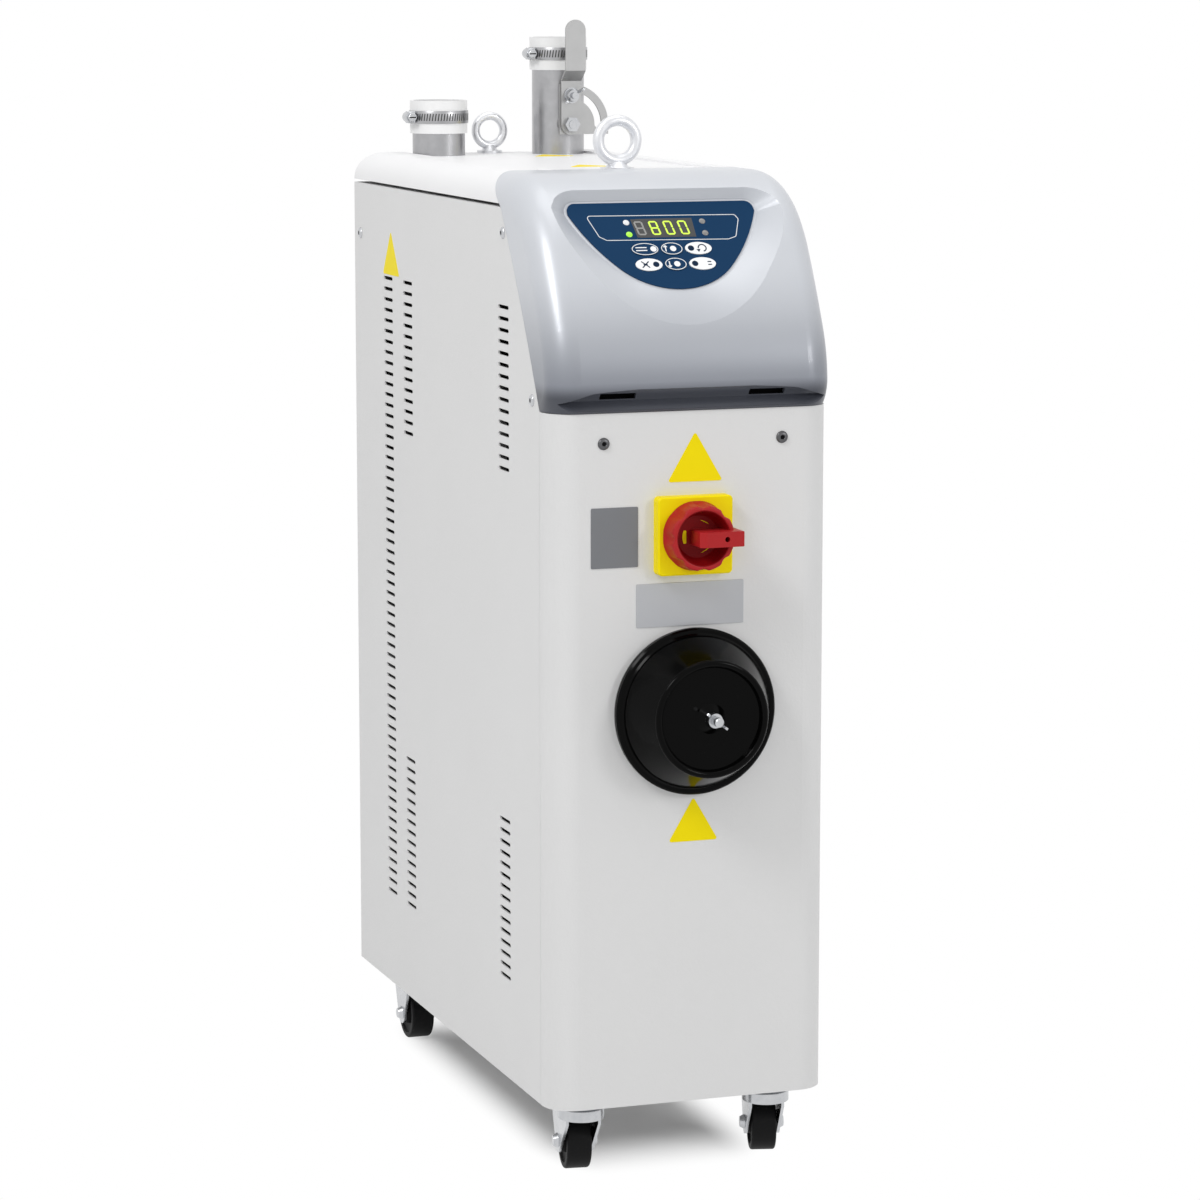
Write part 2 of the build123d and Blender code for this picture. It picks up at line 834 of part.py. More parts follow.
# Filter can hung in the front panel, with two duct windows in its rear wall
duct_low_x = -48.0
duct_high_x = -14.0
return_low = filter_height + duct_gap / 2
return_high = return_low + duct_tall
suction_high = filter_height - duct_gap / 2
suction_low = suction_high - duct_tall
with BuildPart() as filter_can:
    with BuildSketch(filter_plane):
        with BuildLine():
            Polyline(
                (can_radius - can_wall, can_flange),
                (cover_radius - 1, can_flange),
                (cover_radius - 1, 0),
                (can_radius, 0),
                (can_radius, -can_depth),
                (0, -can_depth),
                (0, -can_depth + can_wall),
                (can_radius - can_wall, -can_depth + can_wall),
                close=True,
            )
        make_face()
    revolve(axis=filter_axis)
    with BuildSketch(facing_front(0, front_y + can_depth - can_wall, 0)):
        for low, high in ((return_low, return_high), (suction_low, suction_high)):
            with Locations(((duct_low_x + duct_high_x) / 2, (low + high) / 2)):
                Rectangle(duct_high_x - duct_low_x - 2 * duct_wall, high - low - 2 * duct_wall)
    extrude(amount=-can_wall, mode=Mode.SUBTRACT)
save(filter_can, "filter_can")

with BuildPart() as filter_cartridge:
    with BuildSketch(facing_front(0, front_y + 12.0, filter_height)):
        points = [
            (
                (cartridge_radius if step % 2 else cartridge_bore + 2) * cos(radians(step * 180 / pleat_count)),
                (cartridge_radius if step % 2 else cartridge_bore + 2) * sin(radians(step * 180 / pleat_count)),
            )
            for step in range(2 * pleat_count)
        ]
        Polygon(*points, align=None)
        Circle(cartridge_bore, mode=Mode.SUBTRACT)
    extrude(amount=-(can_depth - can_wall - 12.0))
    with BuildSketch(facing_front(0, front_y + 9.0, filter_height)):
        Circle(cartridge_radius + 2)
        Circle(stud_radius + 0.3, mode=Mode.SUBTRACT)
    extrude(amount=-3.0)
save(filter_cartridge, "filter_cartridge")

with BuildPart() as filter_stud:
    with BuildSketch(facing_front(0, front_y - stud_reach, filter_height)):
        Circle(stud_radius)
    extrude(amount=-(stud_reach + can_depth - can_wall))
    chamfer(filter_stud.faces().sort_by(Axis.Y)[0].edges(), 0.8)
save(filter_stud, "filter_stud")


def wing_nut(plane, bore, turn):
    """Wing nut seated on a plane, with its bore and the angle of its two wings."""
    with BuildPart() as nut:
        with BuildSketch(plane):
            Circle(bore + 3.2)
        with BuildSketch(plane.offset(6.0)):
            Circle(bore + 2.2)
        loft()
        turned = Plane(plane.location * Location((0, 0, 0), (0, 0, turn)))
        wing_plane = Plane(origin=turned.origin, x_dir=turned.x_dir, z_dir=-turned.y_dir)
        with BuildSketch(wing_plane):
            with BuildLine():
                Polyline((bore + 1, 1.0), (wing_span - 1.5, 5.5), (wing_span, 9.5))
                ThreePointArc((wing_span, 9.5), (wing_span - 2, 11.5), (wing_span - 4, 10.0))
                Polyline((wing_span - 4, 10.0), (bore + 1, 5.5), (bore + 1, 1.0))
            make_face()
            mirror(about=Plane.YZ)
        extrude(amount=1.0, both=True)
        with BuildSketch(plane.offset(-1)):
            Circle(bore)
        extrude(amount=14.0, mode=Mode.SUBTRACT)
    return nut


filter_wing_nut = wing_nut(
    facing_front(0, front_y - cover_depth - shaft_play, filter_height),
    stud_radius + shaft_play,
    -38.0,
)
save(filter_wing_nut, "filter_wing_nut")


# Air ducts of sheet metal: return stub to filter can, and filter can to blower
left_stub_low = panel_top - stub_drop
blower_front = tower_y + tower_spacing / 2 + tower_radius + blower_clearance
duct_start = front_y + can_depth
leg_middle_x = (duct_low_x + duct_high_x) / 2
leg_width = duct_high_x - duct_low_x
riser_half = stub_radius + 2.0


def block(low, high, mode=Mode.ADD):
    """An upright box between two corners."""
    size = [b - a for a, b in zip(low, high)]
    with Locations(tuple((a + b) / 2 for a, b in zip(low, high))):
        Box(*size, mode=mode)


with BuildPart() as air_ducts:
    riser_low = (-stub_spread - riser_half, stub_y - riser_half, return_low)
    riser_high = (-stub_spread + riser_half, stub_y + riser_half, left_stub_low)
    block(riser_low, riser_high)
    block((duct_low_x, duct_start, return_low), (duct_high_x, stub_y, return_high))
    w = duct_wall
    block(
        (riser_low[0] + w, riser_low[1] + w, riser_low[2] + w),
        (riser_high[0] - w, riser_high[1] - w, riser_high[2] - w),
        mode=Mode.SUBTRACT,
    )
    block(
        (duct_low_x + w, duct_start, return_low + w),
        (duct_high_x - w, stub_y, return_high - w),
        mode=Mode.SUBTRACT,
    )
    with BuildSketch(Plane.XY.offset(left_stub_low - w)):
        with Locations((-stub_spread, stub_y)):
            Circle(stub_radius - stub_wall)
    extrude(amount=w, mode=Mode.SUBTRACT)
    drop_y = blower_front - leg_width
    drop_low = blower_height - leg_width / 2
    block((duct_low_x, duct_start, suction_low), (duct_high_x, blower_front, suction_high))
    block((duct_low_x, drop_y, drop_low), (duct_high_x, blower_front, suction_high))
    block(
        (duct_low_x + w, duct_start, suction_low + w),
        (duct_high_x - w, blower_front - w, suction_high - w),
        mode=Mode.SUBTRACT,
    )
    block(
        (duct_low_x + w, drop_y + w, drop_low + w),
        (duct_high_x - w, blower_front - w, suction_high - w),
        mode=Mode.SUBTRACT,
    )
    block(
        (duct_low_x + w, blower_front - w, drop_low + w),
        (duct_high_x - w, blower_front, drop_low + leg_width - w),
        mode=Mode.SUBTRACT,
    )
save(air_ducts, "air_ducts")


# Mounting plate across the cabinet, with windows for the two ducts
plate_half = inner_half - flange_depth - 1.0
base_top = caster_height + base_sheet
rail_top = roof_height - pan_depth - roof_wall
with BuildPart() as mounting_plate:
    with BuildSketch(facing_front(0, plate_y, 0)):
        with Locations((0, (base_top + panel_top) / 2)):
            Rectangle(2 * plate_half, panel_top - base_top)
        with Locations((0, (panel_top + rail_top) / 2)):
            Rectangle(rail_width, rail_top - panel_top)
        for low, high in ((return_low, return_high), (suction_low, suction_high)):
            with Locations((leg_middle_x, (low + high) / 2)):
                Rectangle(leg_width + 0.6, high - low + 0.6, mode=Mode.SUBTRACT)
    extrude(amount=-base_sheet)
    with BuildSketch(facing_front(0, plate_y, 0)):
        with Locations((0, base_top + base_sheet / 2)):
            Rectangle(2 * plate_half, base_sheet)
    extrude(amount=flange_depth)
save(mounting_plate, "mounting_plate")

with BuildPart() as lifting_rail:
    rail_start = plate_y + base_sheet
    rail_length = rear_y - roof_radius - rail_start
    with BuildSketch(facing_front(0, rail_start, rail_top - rail_height / 2)):
        Rectangle(rail_width, rail_height)
        with Locations((0, -rail_sheet)):
            Rectangle(rail_width - 2 * rail_sheet, rail_height, mode=Mode.SUBTRACT)
    extrude(amount=-rail_length)
    block(
        (-rail_width / 2, rear_y - roof_radius - rail_foot, panel_top - rail_height),
        (rail_width / 2, rear_y - sheet, roof_low - 1),
    )
    with BuildSketch(Plane.XY.offset(rail_top)):
        with Locations(eye_places[0]):
            Circle(front_eye[2] + shaft_play)
        with Locations(eye_places[1]):
            Circle(rear_eye[2] + shaft_play)
    extrude(amount=-rail_height, mode=Mode.SUBTRACT)
save(lifting_rail, "lifting_rail")

power_middle = filter_height + can_radius + power_gap + power_tall / 2
with BuildPart() as power_unit:
    with BuildSketch(facing_front(0, plate_y, power_middle)):
        Rectangle(power_width, power_tall)
    extrude(amount=power_depth)
    with BuildSketch(facing_front(0, plate_y - power_depth, power_middle)):
        with GridLocations(0, power_tall - 50.0, 1, 2):
            Rectangle(power_width - 20.0, 26.0)
    extrude(amount=10.0)
save(power_unit, "power_unit")


# Twin desiccant towers, standing on the base tray
tower_places = [(tower_side, tower_y - tower_spacing / 2), (tower_side, tower_y + tower_spacing / 2)]
tower_port = 18.0
heater_radius = 8.0
spigot_radius = 14.0
spigot_height = 130.0
with BuildPart() as desiccant_towers:
    with BuildSketch(Plane.XY.offset(base_top)):
        with Locations(*tower_places):
            Circle(tower_radius)
    extrude(amount=tower_top - base_top)
    with BuildSketch(facing_front(tower_side, blower_front, spigot_height)):
        Circle(spigot_radius)
    extrude(amount=blower_front - tower_places[0][1])
    with BuildSketch(facing_front(tower_side, blower_front, spigot_height)):
        Circle(spigot_radius - tower_wall)
    extrude(amount=blower_front - tower_places[0][1], mode=Mode.SUBTRACT)
    with BuildSketch(Plane.XY.offset(base_top + tower_wall)):
        with Locations(*tower_places):
            Circle(tower_radius - tower_wall)
    extrude(amount=tower_top - base_top - 2 * tower_wall, mode=Mode.SUBTRACT)
    with BuildSketch(Plane.XY.offset(tower_top)):
        with Locations(*tower_places):
            Circle(tower_port)
    extrude(amount=-tower_wall, mode=Mode.SUBTRACT)
save(desiccant_towers, "desiccant_towers")

bed_low = base_top + tower_wall
with BuildPart() as desiccant_beds:
    with BuildSketch(Plane.XY.offset(bed_low)):
        with Locations(*tower_places):
            Circle(tower_radius - tower_wall - 0.1)
            Circle(heater_radius + 0.1, mode=Mode.SUBTRACT)
    extrude(amount=tower_top - bed_low - 60.0)
save(desiccant_beds, "desiccant_beds")

with BuildPart() as tower_heaters:
    with BuildSketch(Plane.XY.offset(bed_low)):
        with Locations(*tower_places):
            Circle(heater_radius)
    extrude(amount=320.0)
save(tower_heaters, "tower_heaters")

right_stub_low = tower_top + manifold_height
manifold_low = (tower_side - 40.0, tower_places[0][1] - 40.0, tower_top)
manifold_high = (stub_spread + riser_half, stub_y + riser_half, right_stub_low)
with BuildPart() as tower_manifold:
    block(manifold_low, manifold_high)
    block(
        [value + duct_wall for value in manifold_low],
        [value - duct_wall for value in manifold_high],
        mode=Mode.SUBTRACT,
    )
    with BuildSketch(Plane.XY.offset(tower_top)):
        with Locations(*tower_places):
            Circle(tower_port)
    extrude(amount=duct_wall, mode=Mode.SUBTRACT)
    with BuildSketch(Plane.XY.offset(right_stub_low)):
        with Locations((stub_spread, stub_y)):
            Circle(stub_radius - stub_wall)
    extrude(amount=-duct_wall, mode=Mode.SUBTRACT)
save(tower_manifold, "tower_manifold")


# Blower: cast housing with its inlet in front, vaned impeller on the motor shaft
blower_back = blower_front + blower_thickness
impeller_radius = 80.0
impeller_depth = 22.0
motor_shaft_radius = 8.0
motor_radius = 60.0
motor_length = rear_y - motor_clearance - blower_back - motor_mount
with BuildPart() as blower_housing:
    with BuildSketch(facing_front(0, blower_front, blower_height)):
        Circle(blower_radius)
    extrude(amount=-blower_thickness)
    fillet(blower_housing.faces().sort_by(Axis.Y)[0].edges(), 8.0)
    with BuildSketch(facing_front(0, blower_front, 0)):
        with Locations((0, (base_top + blower_height - 60) / 2)):
            Rectangle(110.0, blower_height - 60 - base_top)
    extrude(amount=-blower_thickness)
    with BuildSketch(facing_front(0, blower_back, blower_height)):
        Circle(impeller_radius + 3)
    extrude(amount=impeller_depth + 6, mode=Mode.SUBTRACT)
    block(
        (duct_low_x + w, blower_front, drop_low + w),
        (duct_high_x - w, blower_back - impeller_depth, drop_low + leg_width - w),
        mode=Mode.SUBTRACT,
    )
save(blower_housing, "blower_housing")

with BuildPart() as blower_impeller:
    with BuildSketch(facing_front(0, blower_back - 3, blower_height)):
        Circle(impeller_radius)
    extrude(amount=4.0)
    with BuildSketch(facing_front(0, blower_back - 7, blower_height)):
        Circle(20.0)
    extrude(amount=impeller_depth - 4.0)
    with BuildSketch(facing_front(0, blower_back - 7, blower_height)):
        with PolarLocations(48.0, 10):
            with Locations(Rotation(0, 0, 25)):
                Rectangle(56.0, 2.5)
    extrude(amount=impeller_depth - 4.0)
    with BuildSketch(facing_front(0, blower_back - 3, blower_height)):
        Circle(motor_shaft_radius)
    extrude(amount=-motor_length / 2)
save(blower_impeller, "blower_impeller")

with BuildPart() as blower_motor:
    with BuildSketch(facing_front(0, blower_back, blower_height)):
        Circle(impeller_radius + 8)
    extrude(amount=-motor_mount)
    with BuildSketch(facing_front(0, blower_back + motor_mount, blower_height)):
        Circle(motor_radius)
    extrude(amount=-motor_length)
    block(
        (-45.0, blower_back + motor_length / 5, base_top),
        (45.0, blower_back + motor_length - 10, blower_height - motor_radius + 20),
    )
    with BuildSketch(facing_front(0, blower_back, blower_height)):
        Circle(motor_shaft_radius + shaft_play)
    extrude(amount=-(motor_length / 2 + 4), mode=Mode.SUBTRACT)
save(blower_motor, "blower_motor")


# Hose stubs, sleeves and band clamps
def stub(x, low, high):
    """Thin-walled vertical tube between two heights."""
    with BuildPart() as tube:
        with BuildSketch(Plane.XY.offset(low)):
            with Locations((x, stub_y)):
                Circle(stub_radius)
                Circle(stub_radius - stub_wall, mode=Mode.SUBTRACT)
        extrude(amount=high - low)
    return tube.part


with BuildPart() as hose_stubs:
    add(stub(-stub_spread, left_stub_low, left_sleeve_top - sleeve_lip))
    add(stub(stub_spread, right_stub_low, right_sleeve_top - sleeve_lip))
    with BuildSketch(facing_front(stub_spread, stub_y, pivot_height)):
        Circle(valve_shaft_radius + shaft_play)
    extrude(amount=stub_radius + 2, both=True, mode=Mode.SUBTRACT)
save(hose_stubs, "hose_stubs")

sleeve_bore = stub_radius + 0.1
sleeve_tops = ((-stub_spread, left_sleeve_top), (stub_spread, right_sleeve_top))
with BuildPart() as hose_sleeves:
    for x, top in sleeve_tops:
        with BuildSketch(Plane.XY.offset(top - sleeve_length)):
            with Locations((x, stub_y)):
                Circle(sleeve_bore + sleeve_thickness)
        extrude(amount=sleeve_length)
        with BuildSketch(Plane.XY.offset(top - sleeve_length)):
            with Locations((x, stub_y)):
                Circle(sleeve_bore)
        extrude(amount=sleeve_length - sleeve_lip, mode=Mode.SUBTRACT)
        with BuildSketch(Plane.XY.offset(top - sleeve_lip)):
            with Locations((x, stub_y)):
                Circle(sleeve_mouth)
        extrude(amount=sleeve_lip, mode=Mode.SUBTRACT)
save(hose_sleeves, "hose_sleeves")

band_bore = sleeve_bore + sleeve_thickness
band_drop = (sleeve_length + band_width) / 2
with BuildPart() as hose_clamps:
    for x, top in sleeve_tops:
        with BuildSketch(Plane.XY.offset(top - band_drop)):
            with Locations((x, stub_y)):
                Circle(band_bore + band_thickness)
            with Locations((x - band_bore - 3.6, stub_y - 6.0)):
                RectangleRounded(9.0, 15.0, 1.5)
            with Locations((x, stub_y)):
                Circle(band_bore, mode=Mode.SUBTRACT)
        extrude(amount=band_width)
        screw_x = x - band_bore - 4.6
        screw_z = top - band_drop + band_width / 2
        with BuildSketch(facing_front(screw_x, stub_y - 13.5, screw_z)):
            RegularPolygon(4.2, 6)
        extrude(amount=6.0)
save(hose_clamps, "hose_clamps")


# Butterfly valve
valve_y = stub_y - quadrant_reach
pivot = facing_front(stub_spread, valve_y, pivot_height)
lock_outer = lock_radius + lock_slot / 2
lock_inner = lock_radius - lock_slot / 2
with BuildPart() as valve_quadrant:
    with BuildSketch(pivot):
        with BuildLine():
            Line((0, quadrant_radius), (-11.0, quadrant_radius))
            Line((-11.0, quadrant_radius), (-11.0, -9.5))
            Line((-11.0, -9.5), (quadrant_radius, -9.5))
            Line((quadrant_radius, -9.5), (quadrant_radius, 0))
            ThreePointArc(
                (quadrant_radius, 0),
                (quadrant_radius * sqrt(0.5), quadrant_radius * sqrt(0.5)),
                (0, quadrant_radius),
            )
        make_face()
        with BuildLine():
            ThreePointArc(
                (lock_outer, 0),
                (lock_outer * sqrt(0.5), lock_outer * sqrt(0.5)),
                (0, lock_outer),
            )
            ThreePointArc((0, lock_outer), (-lock_slot / 2, lock_radius), (0, lock_inner))
            ThreePointArc(
                (0, lock_inner),
                (lock_inner * sqrt(0.5), lock_inner * sqrt(0.5)),
                (lock_inner, 0),
            )
            ThreePointArc((lock_inner, 0), (lock_radius, -lock_slot / 2), (lock_outer, 0))
        make_face(mode=Mode.SUBTRACT)
        Circle(valve_shaft_radius + shaft_play, mode=Mode.SUBTRACT)
    extrude(amount=-quadrant_sheet)
    with BuildSketch(pivot.offset(-quadrant_sheet)):
        Circle(9.0)
        Circle(valve_shaft_radius + shaft_play, mode=Mode.SUBTRACT)
    extrude(amount=-(quadrant_reach - quadrant_sheet - stub_radius + 5))
    with BuildSketch(Plane.XY.offset(pivot_height - 20)):
        with Locations((stub_spread, stub_y)):
            Circle(stub_radius)
    extrude(amount=40.0, mode=Mode.SUBTRACT)
save(valve_quadrant, "valve_quadrant")

lever_y = valve_y - running_gap
lever_front = lever_y - lever_sheet
with BuildPart() as valve_lever:
    with BuildSketch(side_view(stub_spread)):
        with BuildLine():
            Polyline(
                (lever_y, pivot_height - lever_width / 2),
                (lever_y, pivot_height + lever_jog_height - 5),
                (lever_y - lever_jog, pivot_height + lever_jog_height + 5),
                (lever_y - lever_jog, pivot_height + lever_top),
                (lever_front - lever_jog, pivot_height + lever_top),
                (lever_front - lever_jog, pivot_height + lever_jog_height + 4),
                (lever_front, pivot_height + lever_jog_height - 6),
                (lever_front, pivot_height - lever_width / 2),
                close=True,
            )
        make_face()
    extrude(amount=lever_width / 2, both=True)
    with BuildSketch(pivot.offset(-5)):
        with Locations((0, (lever_top - lever_width / 2) / 2)):
            SlotOverall(lever_top + lever_width / 2, lever_width, rotation=90)
    extrude(amount=30.0, mode=Mode.INTERSECT)
    with BuildSketch(pivot.offset(-5)):
        Circle(valve_shaft_radius)
        with Locations((0, lock_radius)):
            Circle(lock_bolt_radius)
    extrude(amount=30.0, mode=Mode.SUBTRACT)
save(valve_lever, "valve_lever")

disc_thickness = 2.0
shaft_front = quadrant_reach + running_gap + lever_sheet + 6.0
with BuildPart() as valve_disc:
    with BuildSketch(side_view(stub_spread - disc_thickness / 2)):
        with Locations((stub_y, pivot_height)):
            Circle(stub_radius - stub_wall - running_gap)
    extrude(amount=disc_thickness)
save(valve_disc, "valve_disc")

with BuildPart() as valve_shaft:
    with BuildSketch(facing_front(stub_spread, stub_y - shaft_front, pivot_height)):
        Circle(valve_shaft_radius)
    extrude(amount=-(shaft_front + stub_radius + 3))
    add(valve_disc.part, mode=Mode.SUBTRACT)
save(valve_shaft, "valve_shaft")

washer_sheet = 1.5
lever_face = pivot.offset(running_gap + lever_sheet)
with BuildPart() as lever_fasteners:
    with BuildSketch(lever_face):
        RegularPolygon(7.5, 6)
        Circle(valve_shaft_radius, mode=Mode.SUBTRACT)
    extrude(amount=5.0)
    with BuildSketch(lever_face):
        with Locations((0, lock_radius)):
            Circle(7.5)
            Circle(lock_bolt_radius, mode=Mode.SUBTRACT)
    extrude(amount=washer_sheet)
    with BuildSketch(pivot.offset(-quadrant_sheet - running_gap)):
        with Locations((0, lock_radius)):
            Circle(lock_bolt_radius)
    extrude(amount=quadrant_sheet + 2 * running_gap + lever_sheet + 12.0)
    with BuildSketch(pivot.offset(-quadrant_sheet - running_gap)):
        with Locations((0, lock_radius)):
            Circle(6.0)
    extrude(amount=-3.0)
save(lever_fasteners, "lever_fasteners")

lever_wing_nut = wing_nut(
    facing_front(
        stub_spread,
        lever_front - washer_sheet - shaft_play,
        pivot_height + lock_radius,
    ),
    lock_bolt_radius + shaft_play,
    35.0,
)
save(lever_wing_nut, "lever_wing_nut")


# Lifting eyes, roof plugs and panel screws
with BuildPart() as eyebolts:
    for (x, y), (outer, inner, shank, washer) in zip(eye_places, (front_eye, rear_eye)):
        seat = roof_height - pan_depth
        middle = seat + eye_washer + outer / 2 + 1.0
        ring_radius = (outer + inner) / 4
        wire_radius = (outer - inner) / 4
        with BuildSketch(Plane.XY.offset(seat)):
            with Locations((x, y)):
                Circle(washer / 2)
        extrude(amount=eye_washer)
        with BuildSketch(Plane.XY.offset(seat + eye_washer)):
            with Locations((x, y)):
                Circle(washer / 2 - 4)
        with BuildSketch(Plane.XY.offset(seat + eye_washer + 5)):
            with Locations((x, y)):
                Circle(shank + 0.8)
        loft()
        with Locations(Location((x, y, middle), (90, 0, 0))):
            Torus(ring_radius, wire_radius)
        with BuildSketch(Plane.XY.offset(seat)):
            with Locations((x, y)):
                Circle(shank)
        extrude(amount=-shank_length)
save(eyebolts, "eyebolts")

with BuildPart() as cover_plugs:
    with BuildSketch(Plane.XY.offset(roof_height - pan_depth)):
        with Locations(*plug_places):
            Circle(7.5)
    extrude(amount=2.6)
    chamfer(cover_plugs.faces().group_by(Axis.Z)[-1].edges(), 1.0)
    with BuildSketch(Plane.XY.offset(roof_height - pan_depth)):
        with Locations(*plug_places):
            Circle(3.1)
    extrude(amount=-6.0)
save(cover_plugs, "cover_plugs")

with BuildPart() as panel_screws:
    for x in (-front_screw_spread, front_screw_spread):
        with Locations(Location((x, front_y, front_screw_height), (90, 0, 0))):
            Cylinder(screw_head_radius, screw_head_height, align=(Align.CENTER, Align.CENTER, Align.MIN))
            Cylinder(screw_radius, screw_length, align=(Align.CENTER, Align.CENTER, Align.MAX))
    for side in (-1, 1):
        for y, z in side_screws:
            with Locations(Location((side * half_width, y, z), (0, side * 90, 0))):
                Cylinder(screw_head_radius, screw_head_height, align=(Align.CENTER, Align.CENTER, Align.MIN))
                Cylinder(screw_radius, screw_length, align=(Align.CENTER, Align.CENTER, Align.MAX))
save(panel_screws, "panel_screws")

gland_axis = Axis((gland_x, rear_y, gland_z), (0, 1, 0))
with BuildPart() as cable_gland:
    with BuildSketch(Plane(origin=(gland_x, rear_y, gland_z), x_dir=(1, 0, 0), z_dir=(0, 0, 1))):
        with BuildLine():
            Polyline(
                (gland_bore, -sheet - 6),
                (gland_radius - 3.1, -sheet - 6),
                (gland_radius - 3.1, 0),
                (gland_radius, 0),
                (gland_radius, 9),
                (gland_radius - 1.5, 10),
                (gland_radius - 1.5, rear_reach - 3),
                (gland_radius - 4, rear_reach),
                (gland_bore, rear_reach),
                close=True,
            )
        make_face()
    revolve(axis=gland_axis)
    with BuildSketch(facing_front(gland_x, rear_y - sheet, gland_z)):
        RegularPolygon(gland_radius + 1, 6)
        Circle(gland_radius - 4, mode=Mode.SUBTRACT)
    extrude(amount=4.0)
save(cable_gland, "cable_gland")


# Casters: front pair on swivel heads, rear pair in fixed forks
front_caster_y = front_y + front_caster_offset
rear_wheel_y = rear_y - rear_caster_offset + 2.0
caster_axes = {
    "left_front": Plane(Location((-caster_spread, front_caster_y, 0), (0, 0, left_caster_turn))),
    "right_front": Plane(Location((caster_spread, front_caster_y, 0), (0, 0, right_caster_turn))),
    "left_rear": Plane(Location((-caster_spread, rear_wheel_y - trail, 0))),
    "right_rear": Plane(Location((caster_spread, rear_wheel_y - trail, 0))),
}
leg_inner = hub_width / 2 + fork_gap
leg_outer = leg_inner + fork_sheet
crown_top = caster_height - head_height - fork_gap
crown_low = crown_top - crown_height


def across(plane, x):
    """The caster's side view at a distance from its middle: local x to its rear, local y up."""
    return Plane(
        origin=plane.from_local_coords((x, 0, 0)),
        x_dir=plane.y_dir,
        z_dir=plane.x_dir,
    )


def fork(plane):
    """Bent fork: a round crown with two legs that trail behind the swivel axis."""
    with BuildPart() as bracket:
        with BuildSketch(plane.offset(crown_top)):
            Circle(race_radius)
        extrude(amount=-race_height)
        with BuildSketch(plane.offset(crown_top - race_height)):
            Circle(crown_radius)
        extrude(amount=race_height - crown_height)
        fillet(bracket.edges().filter_by(GeomType.CIRCLE), 1.0)
        for start in (leg_inner, -leg_outer):
            with BuildSketch(across(plane, start)):
                with BuildLine():
                    Polyline(
                        (-11.0, crown_low + 2),
                        (-11.0, crown_low - 4),
                        (trail - 9.0, wheel_radius - 6),
                    )
                    ThreePointArc(
                        (trail - 9.0, wheel_radius - 6),
                        (trail + 1.5, wheel_radius - 10.5),
                        (trail + 9.5, wheel_radius - 3),
                    )
                    Polyline(
                        (trail + 9.5, wheel_radius - 3),
                        (brake_pivot[0] + 4.5, brake_pivot[1] - 4),
                        (brake_pivot[0] + 3.0, brake_pivot[1] + 5),
                        (19.0, crown_low + 2),
                        (-11.0, crown_low + 2),
                    )
                make_face()
            extrude(amount=fork_sheet)
    return bracket.part


def wheel_axle(plane):
    """Through axle with domed heads outside the fork legs."""
    with BuildPart() as axle:
        with BuildSketch(across(plane, -leg_outer)):
            with Locations((trail, wheel_radius)):
                Circle(axle_radius)
        extrude(amount=2 * leg_outer)
        for start, direction in ((leg_outer, 1), (-leg_outer, -1)):
            with BuildSketch(across(plane, start)):
                with Locations((trail, wheel_radius)):
                    Circle(6.8)
            with BuildSketch(across(plane, start + direction * 4.0)):
                with Locations((trail, wheel_radius)):
                    Circle(4.6)
            loft()
    return axle.part


def brake_pin(plane):
    """Pin of the brake pedal across the two fork legs."""
    with BuildPart() as pin:
        with BuildSketch(across(plane, -leg_outer - 1.0)):
            with Locations(brake_pivot):
                Circle(pin_radius)
        extrude(amount=2 * leg_outer + 2.0)
    return pin.part


with BuildPart() as left_front_fork:
    add(fork(caster_axes["left_front"]))
    add(wheel_axle(caster_axes["left_front"]))
    add(brake_pin(caster_axes["left_front"]))
save(left_front_fork, "left_front_fork")

with BuildPart() as right_front_fork:
    add(fork(caster_axes["right_front"]))
    add(wheel_axle(caster_axes["right_front"]))
    add(brake_pin(caster_axes["right_front"]))
save(right_front_fork, "right_front_fork")

with BuildPart() as caster_heads:
    with BuildSketch(Plane.XY.offset(caster_height)):
        with Locations((-caster_spread, front_caster_y), (caster_spread, front_caster_y)):
            Circle(head_radius)
    extrude(amount=-head_height)
save(caster_heads, "caster_heads")

with BuildPart() as rear_forks:
    for name in ("left_rear", "right_rear"):
        rear_plane = caster_axes[name]
        with BuildSketch(Plane.XY.offset(caster_height)):
            with Locations((rear_plane.origin.X, rear_wheel_y)):
                Rectangle(2 * leg_outer, rear_leg_length)
        extrude(amount=-3.0)
        for start in (leg_inner, -leg_outer):
            with BuildSketch(across(rear_plane, start)):
                with BuildLine():
                    Polyline(
                        (trail - rear_leg_length / 2, caster_height - 1),
                        (trail - rear_leg_length / 2, caster_height - 9),
                        (trail - 9.0, wheel_radius - 5),
                    )
                    ThreePointArc(
                        (trail - 9.0, wheel_radius - 5),
                        (trail, wheel_radius - 10.5),
                        (trail + 9.0, wheel_radius - 5),
                    )
                    Polyline(
                        (trail + 9.0, wheel_radius - 5),
                        (trail + rear_leg_length / 2, caster_height - 9),
                        (trail + rear_leg_length / 2, caster_height - 1),
                        (trail - rear_leg_length / 2, caster_height - 1),
                    )
                make_face()
            extrude(amount=fork_sheet)
        add(wheel_axle(rear_plane))
save(rear_forks, "rear_forks")

